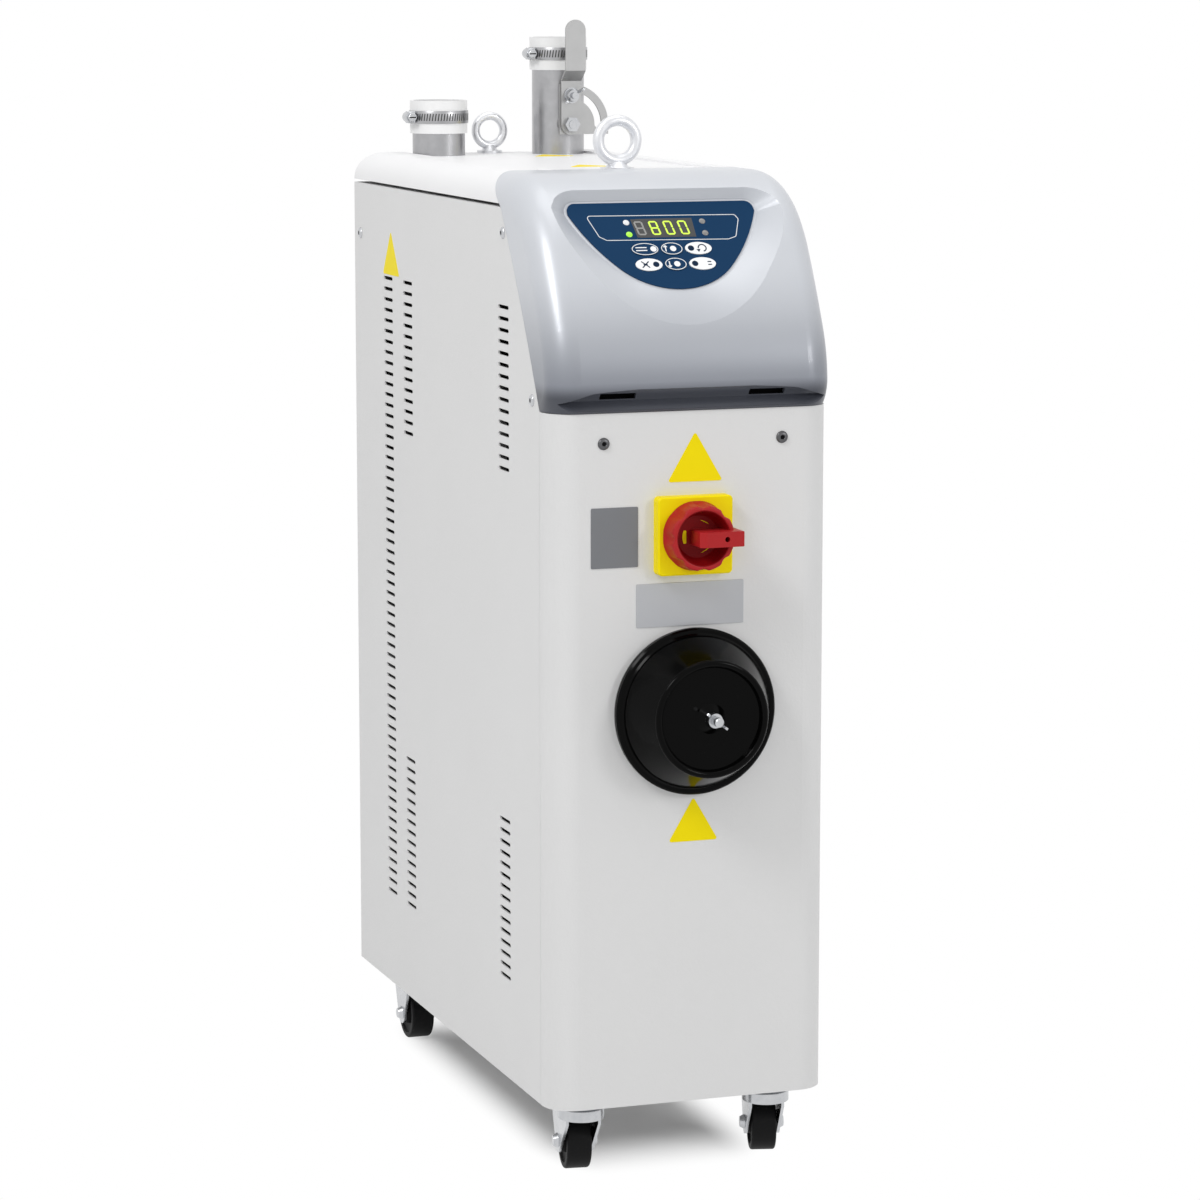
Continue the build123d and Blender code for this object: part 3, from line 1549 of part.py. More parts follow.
for name, plane in caster_axes.items():
    with BuildPart() as wheel:
        with BuildSketch(Plane(origin=plane.from_local_coords((0, trail, wheel_radius)), x_dir=plane.x_dir)):
            with BuildLine():
                Polyline(
                    (-hub_width / 2, axle_radius + 0.05),
                    (-hub_width / 2, hub_radius),
                    (-wheel_width / 2 + 3, hub_radius + 1),
                    (-wheel_width / 2 + 2, wheel_radius - 6),
                    (-wheel_width / 2, wheel_radius - 5),
                    (-wheel_width / 2, wheel_radius - tread_corner),
                )
                ThreePointArc(
                    (-wheel_width / 2, wheel_radius - tread_corner),
                    (-wheel_width / 2 + 0.3 * tread_corner, wheel_radius - 0.3 * tread_corner),
                    (-wheel_width / 2 + tread_corner, wheel_radius),
                )
                Line(
                    (-wheel_width / 2 + tread_corner, wheel_radius),
                    (wheel_width / 2 - tread_corner, wheel_radius),
                )
                ThreePointArc(
                    (wheel_width / 2 - tread_corner, wheel_radius),
                    (wheel_width / 2 - 0.3 * tread_corner, wheel_radius - 0.3 * tread_corner),
                    (wheel_width / 2, wheel_radius - tread_corner),
                )
                Polyline(
                    (wheel_width / 2, wheel_radius - tread_corner),
                    (wheel_width / 2, wheel_radius - 5),
                    (wheel_width / 2 - 2, wheel_radius - 6),
                    (wheel_width / 2 - 3, hub_radius + 1),
                    (hub_width / 2, hub_radius),
                    (hub_width / 2, axle_radius + 0.05),
                    (-hub_width / 2, axle_radius + 0.05),
                )
            make_face()
        revolve(axis=Axis(plane.from_local_coords((0, trail, wheel_radius)), plane.x_dir))
    save(wheel, f"{name}_wheel")

for name in ("left_front", "right_front"):
    plane = caster_axes[name]
    with BuildPart() as pedal:
        with BuildSketch(across(plane, -leg_inner + 0.5)):
            with BuildLine():
                Polyline(
                    (brake_pivot[0] - 4.5, brake_pivot[1] - 4),
                    (brake_pivot[0] - 2.0, brake_pivot[1] - 6),
                    (brake_pivot[0] + 6.0, brake_pivot[1] - 5),
                    (brake_pivot[0] + 23.0, brake_pivot[1] + 5),
                    (brake_pivot[0] + 21.5, brake_pivot[1] + 8.5),
                    (brake_pivot[0] + 4.0, brake_pivot[1] + 5),
                    (brake_pivot[0] - 4.0, brake_pivot[1] + 4),
                    close=True,
                )
            make_face()
            with Locations(brake_pivot):
                Circle(pin_radius + 0.05, mode=Mode.SUBTRACT)
        extrude(amount=2 * leg_inner - 1.0)
    save(pedal, f"{name}_brake")
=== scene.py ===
"""Looks of the compact air dryer: finishes, fine pieces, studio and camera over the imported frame."""

from __future__ import annotations

import json
import logging
import math
from abc import ABC, abstractmethod
from dataclasses import dataclass, field
from enum import Enum
from typing import Iterable, Sequence

import bmesh
import bpy
from mathutils import Matrix, Vector

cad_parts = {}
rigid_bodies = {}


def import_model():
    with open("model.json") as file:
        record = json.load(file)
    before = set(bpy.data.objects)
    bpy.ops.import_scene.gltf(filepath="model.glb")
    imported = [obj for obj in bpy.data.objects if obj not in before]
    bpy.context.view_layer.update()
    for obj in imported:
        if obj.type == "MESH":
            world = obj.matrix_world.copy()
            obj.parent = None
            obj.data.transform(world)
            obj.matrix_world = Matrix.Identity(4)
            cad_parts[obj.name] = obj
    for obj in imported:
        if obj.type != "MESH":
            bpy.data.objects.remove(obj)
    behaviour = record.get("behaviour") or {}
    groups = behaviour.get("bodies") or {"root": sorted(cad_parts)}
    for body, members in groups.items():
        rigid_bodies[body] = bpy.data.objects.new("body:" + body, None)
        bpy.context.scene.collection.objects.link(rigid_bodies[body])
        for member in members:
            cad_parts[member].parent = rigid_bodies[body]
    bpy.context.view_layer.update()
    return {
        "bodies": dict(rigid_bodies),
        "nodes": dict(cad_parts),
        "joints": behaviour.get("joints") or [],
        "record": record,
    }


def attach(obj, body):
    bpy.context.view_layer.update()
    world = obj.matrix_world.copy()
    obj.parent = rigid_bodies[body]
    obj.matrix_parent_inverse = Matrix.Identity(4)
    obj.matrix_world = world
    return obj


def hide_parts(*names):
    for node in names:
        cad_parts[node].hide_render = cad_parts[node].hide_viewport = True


LOG = logging.getLogger("air_dryer")
MM = 0.001
WELD = 1e-4  # Vertices that are nearer than this, in millimetres, become one.
ON_AXIS = 1e-6  # A radius below this, in millimetres, lies on the axis.
LIFT = 0.02  # How far a print clears the face behind it, in millimetres.
BEVEL_SEGMENTS = 3
WIRE_RESOLUTION = 2
COAT_ROUGHNESS = 0.08
LEAST_ROUGHNESS = 0.02
SECOND_SHADE = 0.93  # Share of the main colour that a missing second one gets.
GRAIN_DETAIL = 4.0
PATCH_DETAIL = 3.0
BUMP_DEPTH = 0.25 * MM

Point2 = tuple[float, float]
Point3 = tuple[float, float, float]
Colour = tuple[float, float, float, float]


class Body(str, Enum):
    """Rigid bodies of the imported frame."""

    CABINET = "cabinet"
    SWITCH = "main_switch"
    ALARM_KEY = "alarm_key"
    RAISE_KEY = "raise_key"
    CYCLE_KEY = "cycle_key"
    MUTE_KEY = "mute_key"
    LOWER_KEY = "lower_key"
    POWER_KEY = "power_key"


class Slot(str, Enum):
    """Material slots of the record."""

    CABINET = "cabinet_paint"
    OVERLAY = "overlay_blue"
    DISPLAY = "display_dark"
    LAMP = "lamp_clear"
    KEY_WHITE = "key_white"
    KEY_BLUE = "key_blue"
    SWITCH_YELLOW = "switch_yellow"
    SWITCH_RED = "switch_red"
    BLACK = "black_plastic"
    ZINC = "zinc"


def srgb(red: int, green: int, blue: int) -> Colour:
    """Turn a screen colour into a linear one, by the curve of the sRGB standard.

    Args:
        red: Red from 0 to 255.
        green: Green from 0 to 255.
        blue: Blue from 0 to 255.

    Returns:
        Linear red, green, blue and alpha.
    """
    channels = []
    for value in (red, green, blue):
        share = value / 255
        channels.append(share / 12.92 if share <= 0.04045 else ((share + 0.055) / 1.055) ** 2.4)
    return (*channels, 1.0)


@dataclass(frozen=True)
class Finish:
    """A surface finish and the fine detail in it.

    Attributes:
        name: Material name.
        colour: Main colour, linear.
        second: Colour that the main one drifts towards in faint patches.
        roughness: Middle roughness.
        spread: How far roughness varies to each side.
        metallic: Metalness.
        coat: Clear coat weight.
        specular: Specular level of the bare surface.
        grain: Size of the surface grain in millimetres.
        bump: Strength of the grain.
        patch: Size of the colour patches in millimetres.
        brushed: Stretch of the grain along one axis, 1 for none.
        glow: Emission strength of a lit lamp or digit.
        fades: Painted shade: darker colours towards the foot, each with the heights in metres where it starts
            and ends.
        slot: Material slot of the record for this finish. Not used.
    """

    name: str
    colour: Colour
    second: Colour | None = None
    roughness: float = 0.45
    spread: float = 0.05
    metallic: float = 0.0
    coat: float = 0.0
    specular: float = 0.5
    grain: float = 1.2
    bump: float = 0.05
    patch: float = 60.0
    brushed: float = 1.0
    glow: float = 0.0
    fades: tuple[tuple[Colour, float, float], ...] = ()
    slot: Slot = Slot.CABINET

    def build(self) -> bpy.types.Material:
        """Make the node material.

        Returns:
            The finished material.
        """
        material = bpy.data.materials.new(self.name)
        material.use_nodes = True
        tree = material.node_tree
        shader = tree.nodes["Principled BSDF"]
        shader.inputs["Metallic"].default_value = self.metallic
        shader.inputs["Coat Weight"].default_value = self.coat
        shader.inputs["Coat Roughness"].default_value = COAT_ROUGHNESS
        shader.inputs["Specular IOR Level"].default_value = self.specular
        place = tree.nodes.new("ShaderNodeTexCoord")
        stretch = tree.nodes.new("ShaderNodeMapping")
        stretch.inputs["Scale"].default_value = (1.0, 1.0, 1.0 / self.brushed)
        tree.links.new(place.outputs["Object"], stretch.inputs["Vector"])
        grain = self._noise(tree, stretch.outputs["Vector"], self.grain, GRAIN_DETAIL)
        patch = self._noise(tree, place.outputs["Object"], self.patch, PATCH_DETAIL)
        mix = tree.nodes.new("ShaderNodeMix")
        mix.data_type = "RGBA"
        mix.inputs["A"].default_value = self.colour
        shade = (*(SECOND_SHADE * channel for channel in self.colour[:3]), 1.0)
        mix.inputs["B"].default_value = self.second or shade
        tree.links.new(patch, mix.inputs["Factor"])
        colour = mix.outputs["Result"]
        # Each fade paints shade: the colour darkens towards the foot.
        for low, start, end in self.fades:
            colour = self._painted_shade_by_height(tree, place.outputs["Object"], colour, low, (start, end))
        tree.links.new(colour, shader.inputs["Base Color"])
        rough = tree.nodes.new("ShaderNodeMapRange")
        rough.inputs["To Min"].default_value = max(LEAST_ROUGHNESS, self.roughness - self.spread)
        rough.inputs["To Max"].default_value = min(1.0, self.roughness + self.spread)
        tree.links.new(grain, rough.inputs["Value"])
        tree.links.new(rough.outputs["Result"], shader.inputs["Roughness"])
        bump = tree.nodes.new("ShaderNodeBump")
        bump.inputs["Strength"].default_value = self.bump
        bump.inputs["Distance"].default_value = BUMP_DEPTH
        tree.links.new(grain, bump.inputs["Height"])
        tree.links.new(bump.outputs["Normal"], shader.inputs["Normal"])
        if self.glow:
            shader.inputs["Emission Color"].default_value = self.colour
            shader.inputs["Emission Strength"].default_value = self.glow
        return material

    @staticmethod
    def _painted_shade_by_height(
        tree: bpy.types.NodeTree,
        vector: bpy.types.NodeSocket,
        colour: bpy.types.NodeSocket,
        low: Colour,
        heights: tuple[float, float],
    ) -> bpy.types.NodeSocket:
        """Blend the colour into the low one towards the foot of the piece, which paints shade.

        Args:
            tree: Node tree to add to.
            vector: Where heights are read from.
            colour: Colour at the top.
            low: Colour at the foot.
            heights: Where the low colour ends and where the top colour is reached, in metres.

        Returns:
            The blended colour's socket.
        """
        split = tree.nodes.new("ShaderNodeSeparateXYZ")
        tree.links.new(vector, split.inputs["Vector"])
        share = tree.nodes.new("ShaderNodeMapRange")
        share.interpolation_type = "SMOOTHSTEP"
        share.inputs["From Min"].default_value = heights[0]
        share.inputs["From Max"].default_value = heights[1]
        tree.links.new(split.outputs["Z"], share.inputs["Value"])
        blend = tree.nodes.new("ShaderNodeMix")
        blend.data_type = "RGBA"
        blend.inputs["A"].default_value = low
        tree.links.new(share.outputs["Result"], blend.inputs["Factor"])
        tree.links.new(colour, blend.inputs["B"])
        return blend.outputs["Result"]

    @staticmethod
    def _noise(
        tree: bpy.types.NodeTree,
        vector: bpy.types.NodeSocket,
        size: float,
        detail: float,
    ) -> bpy.types.NodeSocket:
        """Add a noise texture.

        Args:
            tree: Node tree to add to.
            vector: Where the texture reads its place from.
            size: Size of one grain in millimetres.
            detail: Levels of detail.

        Returns:
            The noise value's socket.
        """
        node = tree.nodes.new("ShaderNodeTexNoise")
        node.inputs["Scale"].default_value = 1.0 / (size * MM)
        node.inputs["Detail"].default_value = detail
        tree.links.new(vector, node.inputs["Vector"])
        return node.outputs["Fac"]


class Palette(Enum):
    """Every finish on the dryer."""

    CABINET = Finish("cabinet_paint", srgb(226, 226, 226), srgb(222, 222, 222), roughness=0.5, grain=2.0,
                     bump=0.6, patch=120.0, specular=0.35)
    ROOF = Finish("roof_white", srgb(246, 246, 247), roughness=0.42, grain=1.0, bump=0.12, patch=150.0,
                  specular=0.3)
    # The hood's fades are painted shade: a darker blue-grey over its lower part, where less light falls, and
    # a near black band at its foot, under the nose of its lip.
    HOOD = Finish("hood_silver", srgb(206, 209, 214), srgb(200, 203, 209), roughness=0.36, metallic=0.15,
                  coat=0.15, grain=0.6, bump=0.06, patch=90.0,
                  fades=((srgb(118, 122, 132), 0.665, 0.80), (srgb(66, 69, 78), 0.684, 0.698)))
    OVERLAY = Finish("overlay_blue", srgb(12, 54, 90), roughness=0.5, grain=0.5, bump=0.03, specular=0.1,
                     slot=Slot.OVERLAY)
    WHITE_INK = Finish("white_ink", srgb(250, 251, 252), roughness=0.5, grain=0.4, bump=0.02, specular=0.2,
                       slot=Slot.KEY_WHITE)
    DARK_INK = Finish("dark_ink", srgb(14, 38, 64), roughness=0.5, grain=0.4, bump=0.02, specular=0.1,
                      slot=Slot.KEY_BLUE)
    WINDOW = Finish("window_dark", srgb(78, 78, 78), roughness=0.3, grain=0.8, bump=0.02, specular=0.2,
                    slot=Slot.DISPLAY)
    DIGIT_OFF = Finish("digit_off", srgb(150, 150, 148), roughness=0.4, grain=0.5, bump=0.02,
                       slot=Slot.DISPLAY)
    DIGIT_ON = Finish("digit_on", srgb(190, 220, 70), roughness=0.4, grain=0.5, bump=0.02, glow=0.6,
                      slot=Slot.DISPLAY)
    LAMP_GREEN = Finish("lamp_green", srgb(140, 210, 40), roughness=0.25, grain=0.5, bump=0.02, coat=0.5,
                        glow=0.7, slot=Slot.LAMP)
    LAMP_WHITE = Finish("lamp_white", srgb(235, 237, 240), roughness=0.25, grain=0.5, bump=0.02, coat=0.5,
                        slot=Slot.LAMP)
    LAMP_GREY = Finish("lamp_grey", srgb(132, 130, 128), roughness=0.3, grain=0.5, bump=0.02, coat=0.5,
                       slot=Slot.LAMP)
    YELLOW = Finish("yellow_plastic", srgb(252, 230, 0), roughness=0.45, grain=0.7, bump=0.05, specular=0.12,
                    slot=Slot.SWITCH_YELLOW)
    RED = Finish("red_plastic", srgb(178, 30, 34), srgb(168, 26, 30), roughness=0.42, grain=0.8, bump=0.08,
                 specular=0.25, slot=Slot.SWITCH_RED)
    # A darker copy of the handle's red, for its bowl: painted shade.
    RED_SHADE = Finish("red_bowl_shade", srgb(134, 8, 14), roughness=0.5, grain=0.8, bump=0.05, specular=0.15,
                      slot=Slot.SWITCH_RED)
    PLATE_GREY = Finish("plate_grey", srgb(186, 188, 192), roughness=0.4, grain=0.5, bump=0.03, metallic=0.2)
    PLATE_DARK = Finish("plate_dark", srgb(120, 122, 126), roughness=0.45, grain=0.5, bump=0.03, metallic=0.2)
    BLACK_GLOSS = Finish("black_gloss", srgb(3, 3, 3), roughness=0.14, spread=0.03, grain=1.0, bump=0.02,
                         specular=0.07, patch=40.0)
    BLACK = Finish("black_plastic", srgb(12, 12, 13), roughness=0.5, grain=0.9, bump=0.12, specular=0.2)
    RUBBER = Finish("wheel_rubber", srgb(9, 9, 10), roughness=0.55, grain=0.8, bump=0.1, specular=0.15)
    ZINC = Finish("bright_zinc", srgb(205, 206, 208), srgb(180, 182, 186), roughness=0.22, metallic=1.0,
                  grain=1.5, bump=0.06, patch=8.0, slot=Slot.ZINC)
    SCREW_STEEL = Finish("screw_steel", srgb(104, 104, 106), srgb(84, 84, 86), roughness=0.35, metallic=0.9,
                         grain=0.8, bump=0.06, patch=4.0, slot=Slot.ZINC)
    CAST_ZINC = Finish("cast_zinc", srgb(238, 239, 241), srgb(214, 215, 219), roughness=0.32, metallic=0.7,
                       grain=1.6, bump=0.35, patch=6.0)
    STEEL = Finish("brushed_steel", srgb(186, 186, 188), srgb(160, 160, 162), roughness=0.3, metallic=1.0,
                   grain=0.7, bump=0.08, patch=10.0, brushed=18.0, slot=Slot.ZINC)
    SHEET = Finish("stamped_sheet", srgb(176, 176, 176), srgb(164, 164, 164), roughness=0.42, metallic=0.9,
                   grain=0.9, bump=0.1, patch=14.0)
    SILICONE = Finish("white_silicone", srgb(246, 246, 246), roughness=0.38, grain=1.0, bump=0.04)
    PAPER = Finish("filter_paper", srgb(226, 220, 200), roughness=0.8, grain=0.6, bump=0.2)
    BOARD = Finish("circuit_green", srgb(20, 90, 50), roughness=0.4, grain=0.8, bump=0.05)
    IRON = Finish("motor_grey", srgb(90, 94, 98), roughness=0.5, grain=1.5, bump=0.2)
    BEADS = Finish("desiccant_beads", srgb(222, 206, 160), roughness=0.8, grain=2.4, bump=0.8)
    # Dark grey that fills the clamps' slots: painted shade.
    SLOT_SHADE = Finish("painted_band_shade", srgb(70, 70, 70), roughness=0.5, metallic=0.6, grain=0.6, bump=0.04,
                       slot=Slot.ZINC)
    # Near black that paints shade: behind the hood's lip slots, in the screw slits and on the socket floors.
    PAINTED_SHADE = Finish("painted_gap_shade", srgb(20, 20, 21), roughness=0.8, grain=1.0, bump=0.02, specular=0.1,
                      slot=Slot.BLACK)


@dataclass
class Workshop:
    """Makes mesh and curve pieces in millimetres and hands them to the frame.

    Attributes:
        materials: Materials that were built so far.
    """

    frame: dict
    materials: dict[Palette, bpy.types.Material] = field(default_factory=dict)

    def material(self, finish: Palette) -> bpy.types.Material:
        """Give the material of a finish, building it once.

        Args:
            finish: Entry of the palette.

        Returns:
            The shared material.
        """
        if finish not in self.materials:
            self.materials[finish] = finish.value.build()
        return self.materials[finish]

    def paint_node(self, node: str, finish: Palette) -> None:
        """Give a carried-over node its finish.

        Args:
            node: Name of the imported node.
            finish: Entry of the palette.
        """
        piece = self.frame["nodes"][node]
        for slot in piece.material_slots:
            slot.link = "OBJECT"
            slot.material = self.material(finish)
        LOG.info("finished %s in %s", node, finish.value.name)

    def from_bmesh(
        self,
        name: str,
        mesh: bmesh.types.BMesh,
        finish: Palette,
        body: Body,
        bevel: float = 0.0,
        sharp: float = 35.0,
        replaces: Sequence[str] = (),
    ) -> bpy.types.Object:
        """Turn a bmesh in millimetres into a finished piece.

        Args:
            name: Name of the piece.
            mesh: Its bmesh, which is freed.
            finish: Entry of the palette.
            body: Body it rides on.
            bevel: Width of a modelled edge round, in millimetres.
            sharp: Edges above this angle stay sharp, in degrees.
            replaces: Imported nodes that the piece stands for.

        Returns:
            The new object.
        """
        bmesh.ops.scale(mesh, vec=(MM, MM, MM), verts=mesh.verts)
        bmesh.ops.recalc_face_normals(mesh, faces=mesh.faces)
        data = bpy.data.meshes.new(name)
        mesh.to_mesh(data)
        mesh.free()
        data.polygons.foreach_set("use_smooth", [True] * len(data.polygons))
        piece = bpy.data.objects.new(name, data)
        bpy.context.scene.collection.objects.link(piece)
        data.materials.append(self.material(finish))
        if bevel:
            edge = piece.modifiers.new("edge_round", "BEVEL")
            edge.width = bevel * MM
            edge.segments = BEVEL_SEGMENTS
            edge.limit_method = "ANGLE"
            edge.angle_limit = math.radians(sharp)
            edge.harden_normals = True
        else:
            data.set_sharp_from_angle(angle=math.radians(sharp))
        if replaces:
            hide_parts(*replaces)
        self._hand_over(piece, finish, body)
        return piece

    @staticmethod
    def _hand_over(piece: bpy.types.Object, finish: Palette, body: Body) -> None:
        """Put a new piece on its body.

        Args:
            piece: The new object.
            finish: Not used.
            body: Body it rides on.
        """
        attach(piece, body.value)
        LOG.info("made %s on %s", piece.name, body.value)

    def lathe(
        self,
        name: str,
        profile: Sequence[Point2],
        origin: Point3,
        axis: Point3,
        finish: Palette,
        body: Body,
        segments: int = 96,
        **options,
    ) -> bpy.types.Object:
        """Turn a closed or open profile about an axis.

        Args:
            name: Name of the piece.
            profile: Radius and height pairs in millimetres.
            origin: Point on the axis where height is zero.
            axis: Direction of growing height.
            finish: Entry of the palette.
            body: Body it rides on.
            segments: Steps round the axis.
            **options: Passed on to from_bmesh.

        Returns:
            The new object.
        """
        mesh = bmesh.new()
        turn = Vector((0, 0, 1)).rotation_difference(Vector(axis)).to_matrix().to_4x4()
        place = Matrix.Translation(Vector(origin)) @ turn
        rings = []
        for radius, height in profile:
            if radius < ON_AXIS:
                rings.append([mesh.verts.new(place @ Vector((0, 0, height)))])
                continue
            ring = []
            for step in range(segments):
                angle = math.tau * step / segments
                spot = Vector((radius * math.cos(angle), radius * math.sin(angle), height))
                ring.append(mesh.verts.new(place @ spot))
            rings.append(ring)
        for low, high in zip(rings, rings[1:]):
            for step in range(segments):
                after = (step + 1) % segments
                corners = (
                    low[step % len(low)], low[after % len(low)],
                    high[after % len(high)], high[step % len(high)],
                )
                unique = list(dict.fromkeys(corners))
                if len(unique) > 2:
                    mesh.faces.new(unique)
        bmesh.ops.remove_doubles(mesh, verts=mesh.verts, dist=WELD)
        return self.from_bmesh(name, mesh, finish, body, **options)

    def plate(
        self,
        name: str,
        outline: Sequence[Point2],
        plane: Plane,
        height: float,
        finish: Palette,
        body: Body,
        holes: Sequence[Sequence[Point2]] = (),
        **options,
    ) -> bpy.types.Object:
        """Raise a flat outline off a plane.

        Args:
            name: Name of the piece.
            outline: Corners in the plane, in millimetres.
            plane: Plane that it stands on.
            height: How far it rises, in millimetres.
            finish: Entry of the palette.
            body: Body it rides on.
            holes: Openings in the outline.
            **options: Passed on to from_bmesh.

        Returns:
            The new object.
        """
        return self.from_bmesh(name, self.slab(outline, plane, height, holes), finish, body, **options)

    @staticmethod
    def slab(
        outline: Sequence[Point2],
        plane: Plane,
        height: float,
        holes: Sequence[Sequence[Point2]] = (),
    ) -> bmesh.types.BMesh:
        """Raise an outline into a closed slab.

        Args:
            outline: Corners in the plane, in millimetres.
            plane: Plane that it stands on.
            height: How far it rises, in millimetres.
            holes: Openings in the outline.

        Returns:
            The slab's bmesh.
        """
        mesh = bmesh.new()
        edges = []
        for loop in (outline, *holes):
            corners = [mesh.verts.new(plane.point(x, y, 0)) for x, y in loop]
            edges += [mesh.edges.new(pair) for pair in zip(corners, corners[1:] + corners[:1])]
        if holes:
            bmesh.ops.triangle_fill(mesh, use_beauty=True, use_dissolve=False, edges=edges)
        else:
            mesh.faces.new(list(mesh.verts))
        grown = bmesh.ops.extrude_face_region(mesh, geom=list(mesh.faces))
        top = [item for item in grown["geom"] if isinstance(item, bmesh.types.BMVert)]
        bmesh.ops.translate(mesh, verts=top, vec=plane.normal * height)
        return mesh

    def wire(
        self,
        name: str,
        points: Iterable[Vector],
        radius: float,
        finish: Palette,
        body: Body,
        closed: bool = False,
    ) -> bpy.types.Object:
        """Lay a round line along points.

        Args:
            name: Name of the piece.
            points: Points in millimetres.
            radius: Radius of the line in millimetres.
            finish: Entry of the palette.
            body: Body it rides on.
            closed: Whether the line returns to its start.

        Returns:
            The new curve object.
        """
        data = bpy.data.curves.new(name, "CURVE")
        data.dimensions = "3D"
        data.bevel_depth = radius * MM
        data.bevel_resolution = WIRE_RESOLUTION
        spots = list(points)
        spline = data.splines.new("POLY")
        spline.points.add(len(spots) - 1)
        for target, spot in zip(spline.points, spots):
            target.co = (*(spot * MM), 1.0)
        spline.use_cyclic_u = closed
        data.materials.append(self.material(finish))
        piece = bpy.data.objects.new(name, data)
        bpy.context.scene.collection.objects.link(piece)
        self._hand_over(piece, finish, body)
        return piece


@dataclass(frozen=True)
class Plane:
    """A drawing plane in millimetres.

    Attributes:
        origin: Its zero point.
        across: Direction of its first coordinate.
        up: Direction of its second coordinate.
    """

    origin: Point3
    across: Point3
    up: Point3

    @property
    def normal(self) -> Vector:
        """Direction that the plane faces."""
        return Vector(self.across).cross(Vector(self.up)).normalized()

    def point(self, x: float, y: float, z: float = 0.0) -> Vector:
        """Place a point.

        Args:
            x: First coordinate.
            y: Second coordinate.
            z: Height over the plane.

        Returns:
            The point in the row frame, in millimetres.
        """
        return Vector(self.origin) + Vector(self.across) * x + Vector(self.up) * y + self.normal * z

    def raised(self, height: float) -> Plane:
        """Give the same plane further out.

        Args:
            height: How far out, in millimetres.

        Returns:
            The raised plane.
        """
        return Plane(tuple(self.point(0, 0, height)), self.across, self.up)


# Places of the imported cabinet, in millimetres, and the slope of its dial.
FRONT_Y = -275.0
HALF_WIDTH = 127.0
ROOF_Z = 865.0
SLOT_Z = 686.0
DIAL_Z = 743.7
DIAL_DEPTH = 5.3
SLOPE = math.radians(50.0)
DIAL = Plane((0.0, FRONT_Y + DIAL_DEPTH, DIAL_Z), (1, 0, 0), (0, math.cos(SLOPE), math.sin(SLOPE)))


def facing_front(x: float, z: float, y: float = FRONT_Y) -> Plane:
    """Give a plane that looks out of the front.

    Args:
        x: Place across, in millimetres.
        z: Height in millimetres.
        y: Depth in millimetres.

    Returns:
        The plane, with its normal towards the viewer.
    """
    return Plane((x, y, z), (1, 0, 0), (0, 0, 1))


def rectangle(low: Point2, high: Point2) -> list[Point2]:
    """Give an upright rectangle.

    Args:
        low: Its low left corner.
        high: Its high right corner.

    Returns:
        The four corners.
    """
    return [low, (high[0], low[1]), high, (low[0], high[1])]


def rounded(corners: Sequence[Point2], radius: float, steps: int = 6) -> list[Point2]:
    """Round the corners of a polygon.

    Args:
        corners: Its corners.
        radius: Corner radius.
        steps: Points on each corner.

    Returns:
        The rounded outline.
    """
    outline = []
    for index, corner in enumerate(corners):
        here = Vector(corner)
        before = (Vector(corners[index - 1]) - here).normalized()
        after = (Vector(corners[(index + 1) % len(corners)]) - here).normalized()
        half = before.angle(after) / 2
        reach = radius / math.tan(half)
        middle = here + (before + after).normalized() * radius / math.sin(half)
        start = here + before * reach - middle
        end = here + after * reach - middle
        sweep = start.angle_signed(end)
        for step in range(steps + 1):
            angle = -sweep * step / steps
            spot = middle + Matrix.Rotation(angle, 2) @ start
            outline.append((spot.x, spot.y))
    return outline


def oval(x: float, y: float, width: float, height: float, steps: int = 48) -> list[Point2]:
    """Give an ellipse.

    Args:
        x: Its middle across.
        y: Its middle up.
        width: Whole width.
        height: Whole height.
        steps: Points on it.

    Returns:
        The outline.
    """
    return [
        (x + width / 2 * math.cos(math.tau * k / steps), y + height / 2 * math.sin(math.tau * k / steps))
        for k in range(steps)
    ]


class Assembly(ABC):
    """A group of pieces that is dressed together."""

    def __init__(self, shop: Workshop) -> None:
        """Keep the workshop.

        Args:
            shop: Maker of pieces and materials.
        """
        self.shop = shop

    @abstractmethod
    def dress(self) -> None:
        """Make and place the group's pieces."""


class FrameFinishes(Assembly):
    """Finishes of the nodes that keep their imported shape."""

    NODES: dict[Palette, tuple[str, ...]] = {
        Palette.CABINET: ("base_frame", "front_panel", "left_side_panel", "right_side_panel", "rear_panel"),
        Palette.ROOF: ("top_cover", "cover_plugs"),
        Palette.HOOD: ("control_hood",),
        Palette.OVERLAY: ("dial_overlay", "alarm_key", "raise_key", "lower_key"),
        Palette.WHITE_INK: ("cycle_key", "mute_key", "power_key"),
        Palette.WINDOW: ("display_window",),
        Palette.LAMP_GREY: ("indicator_lamps",),
        Palette.BOARD: ("control_board",),
        Palette.YELLOW: ("switch_plate",),
        Palette.RED: ("switch_handle",),
        Palette.BLACK: ("switch_body", "power_unit", "cable_gland", "left_front_brake", "right_front_brake"),
        Palette.BLACK_GLOSS: ("filter_cover",),
        Palette.RUBBER: (
            "cover_gasket", "left_front_wheel", "right_front_wheel", "left_rear_wheel", "right_rear_wheel",
        ),
        Palette.ZINC: (
            "filter_stud", "filter_wing_nut", "lever_wing_nut", "lever_fasteners", "panel_screws",
            "valve_shaft", "caster_heads", "left_front_fork", "right_front_fork", "rear_forks",
            "hose_clamps",
        ),
        Palette.CAST_ZINC: ("eyebolts",),
        Palette.STEEL: ("hose_stubs", "valve_disc"),
        Palette.SHEET: (
            "valve_lever", "valve_quadrant", "lifting_rail", "mounting_plate", "filter_can", "air_ducts",
            "tower_manifold", "tower_heaters", "desiccant_towers", "blower_housing", "blower_impeller",
        ),
        Palette.SILICONE: ("hose_sleeves",),
        Palette.PAPER: ("filter_cartridge",),
        Palette.IRON: ("blower_motor",),
        Palette.BEADS: ("desiccant_beds",),
    }

    def dress(self) -> None:
        """Paint every node by its group."""
        for finish, nodes in self.NODES.items():
            for node in nodes:
                self.shop.paint_node(node, finish)


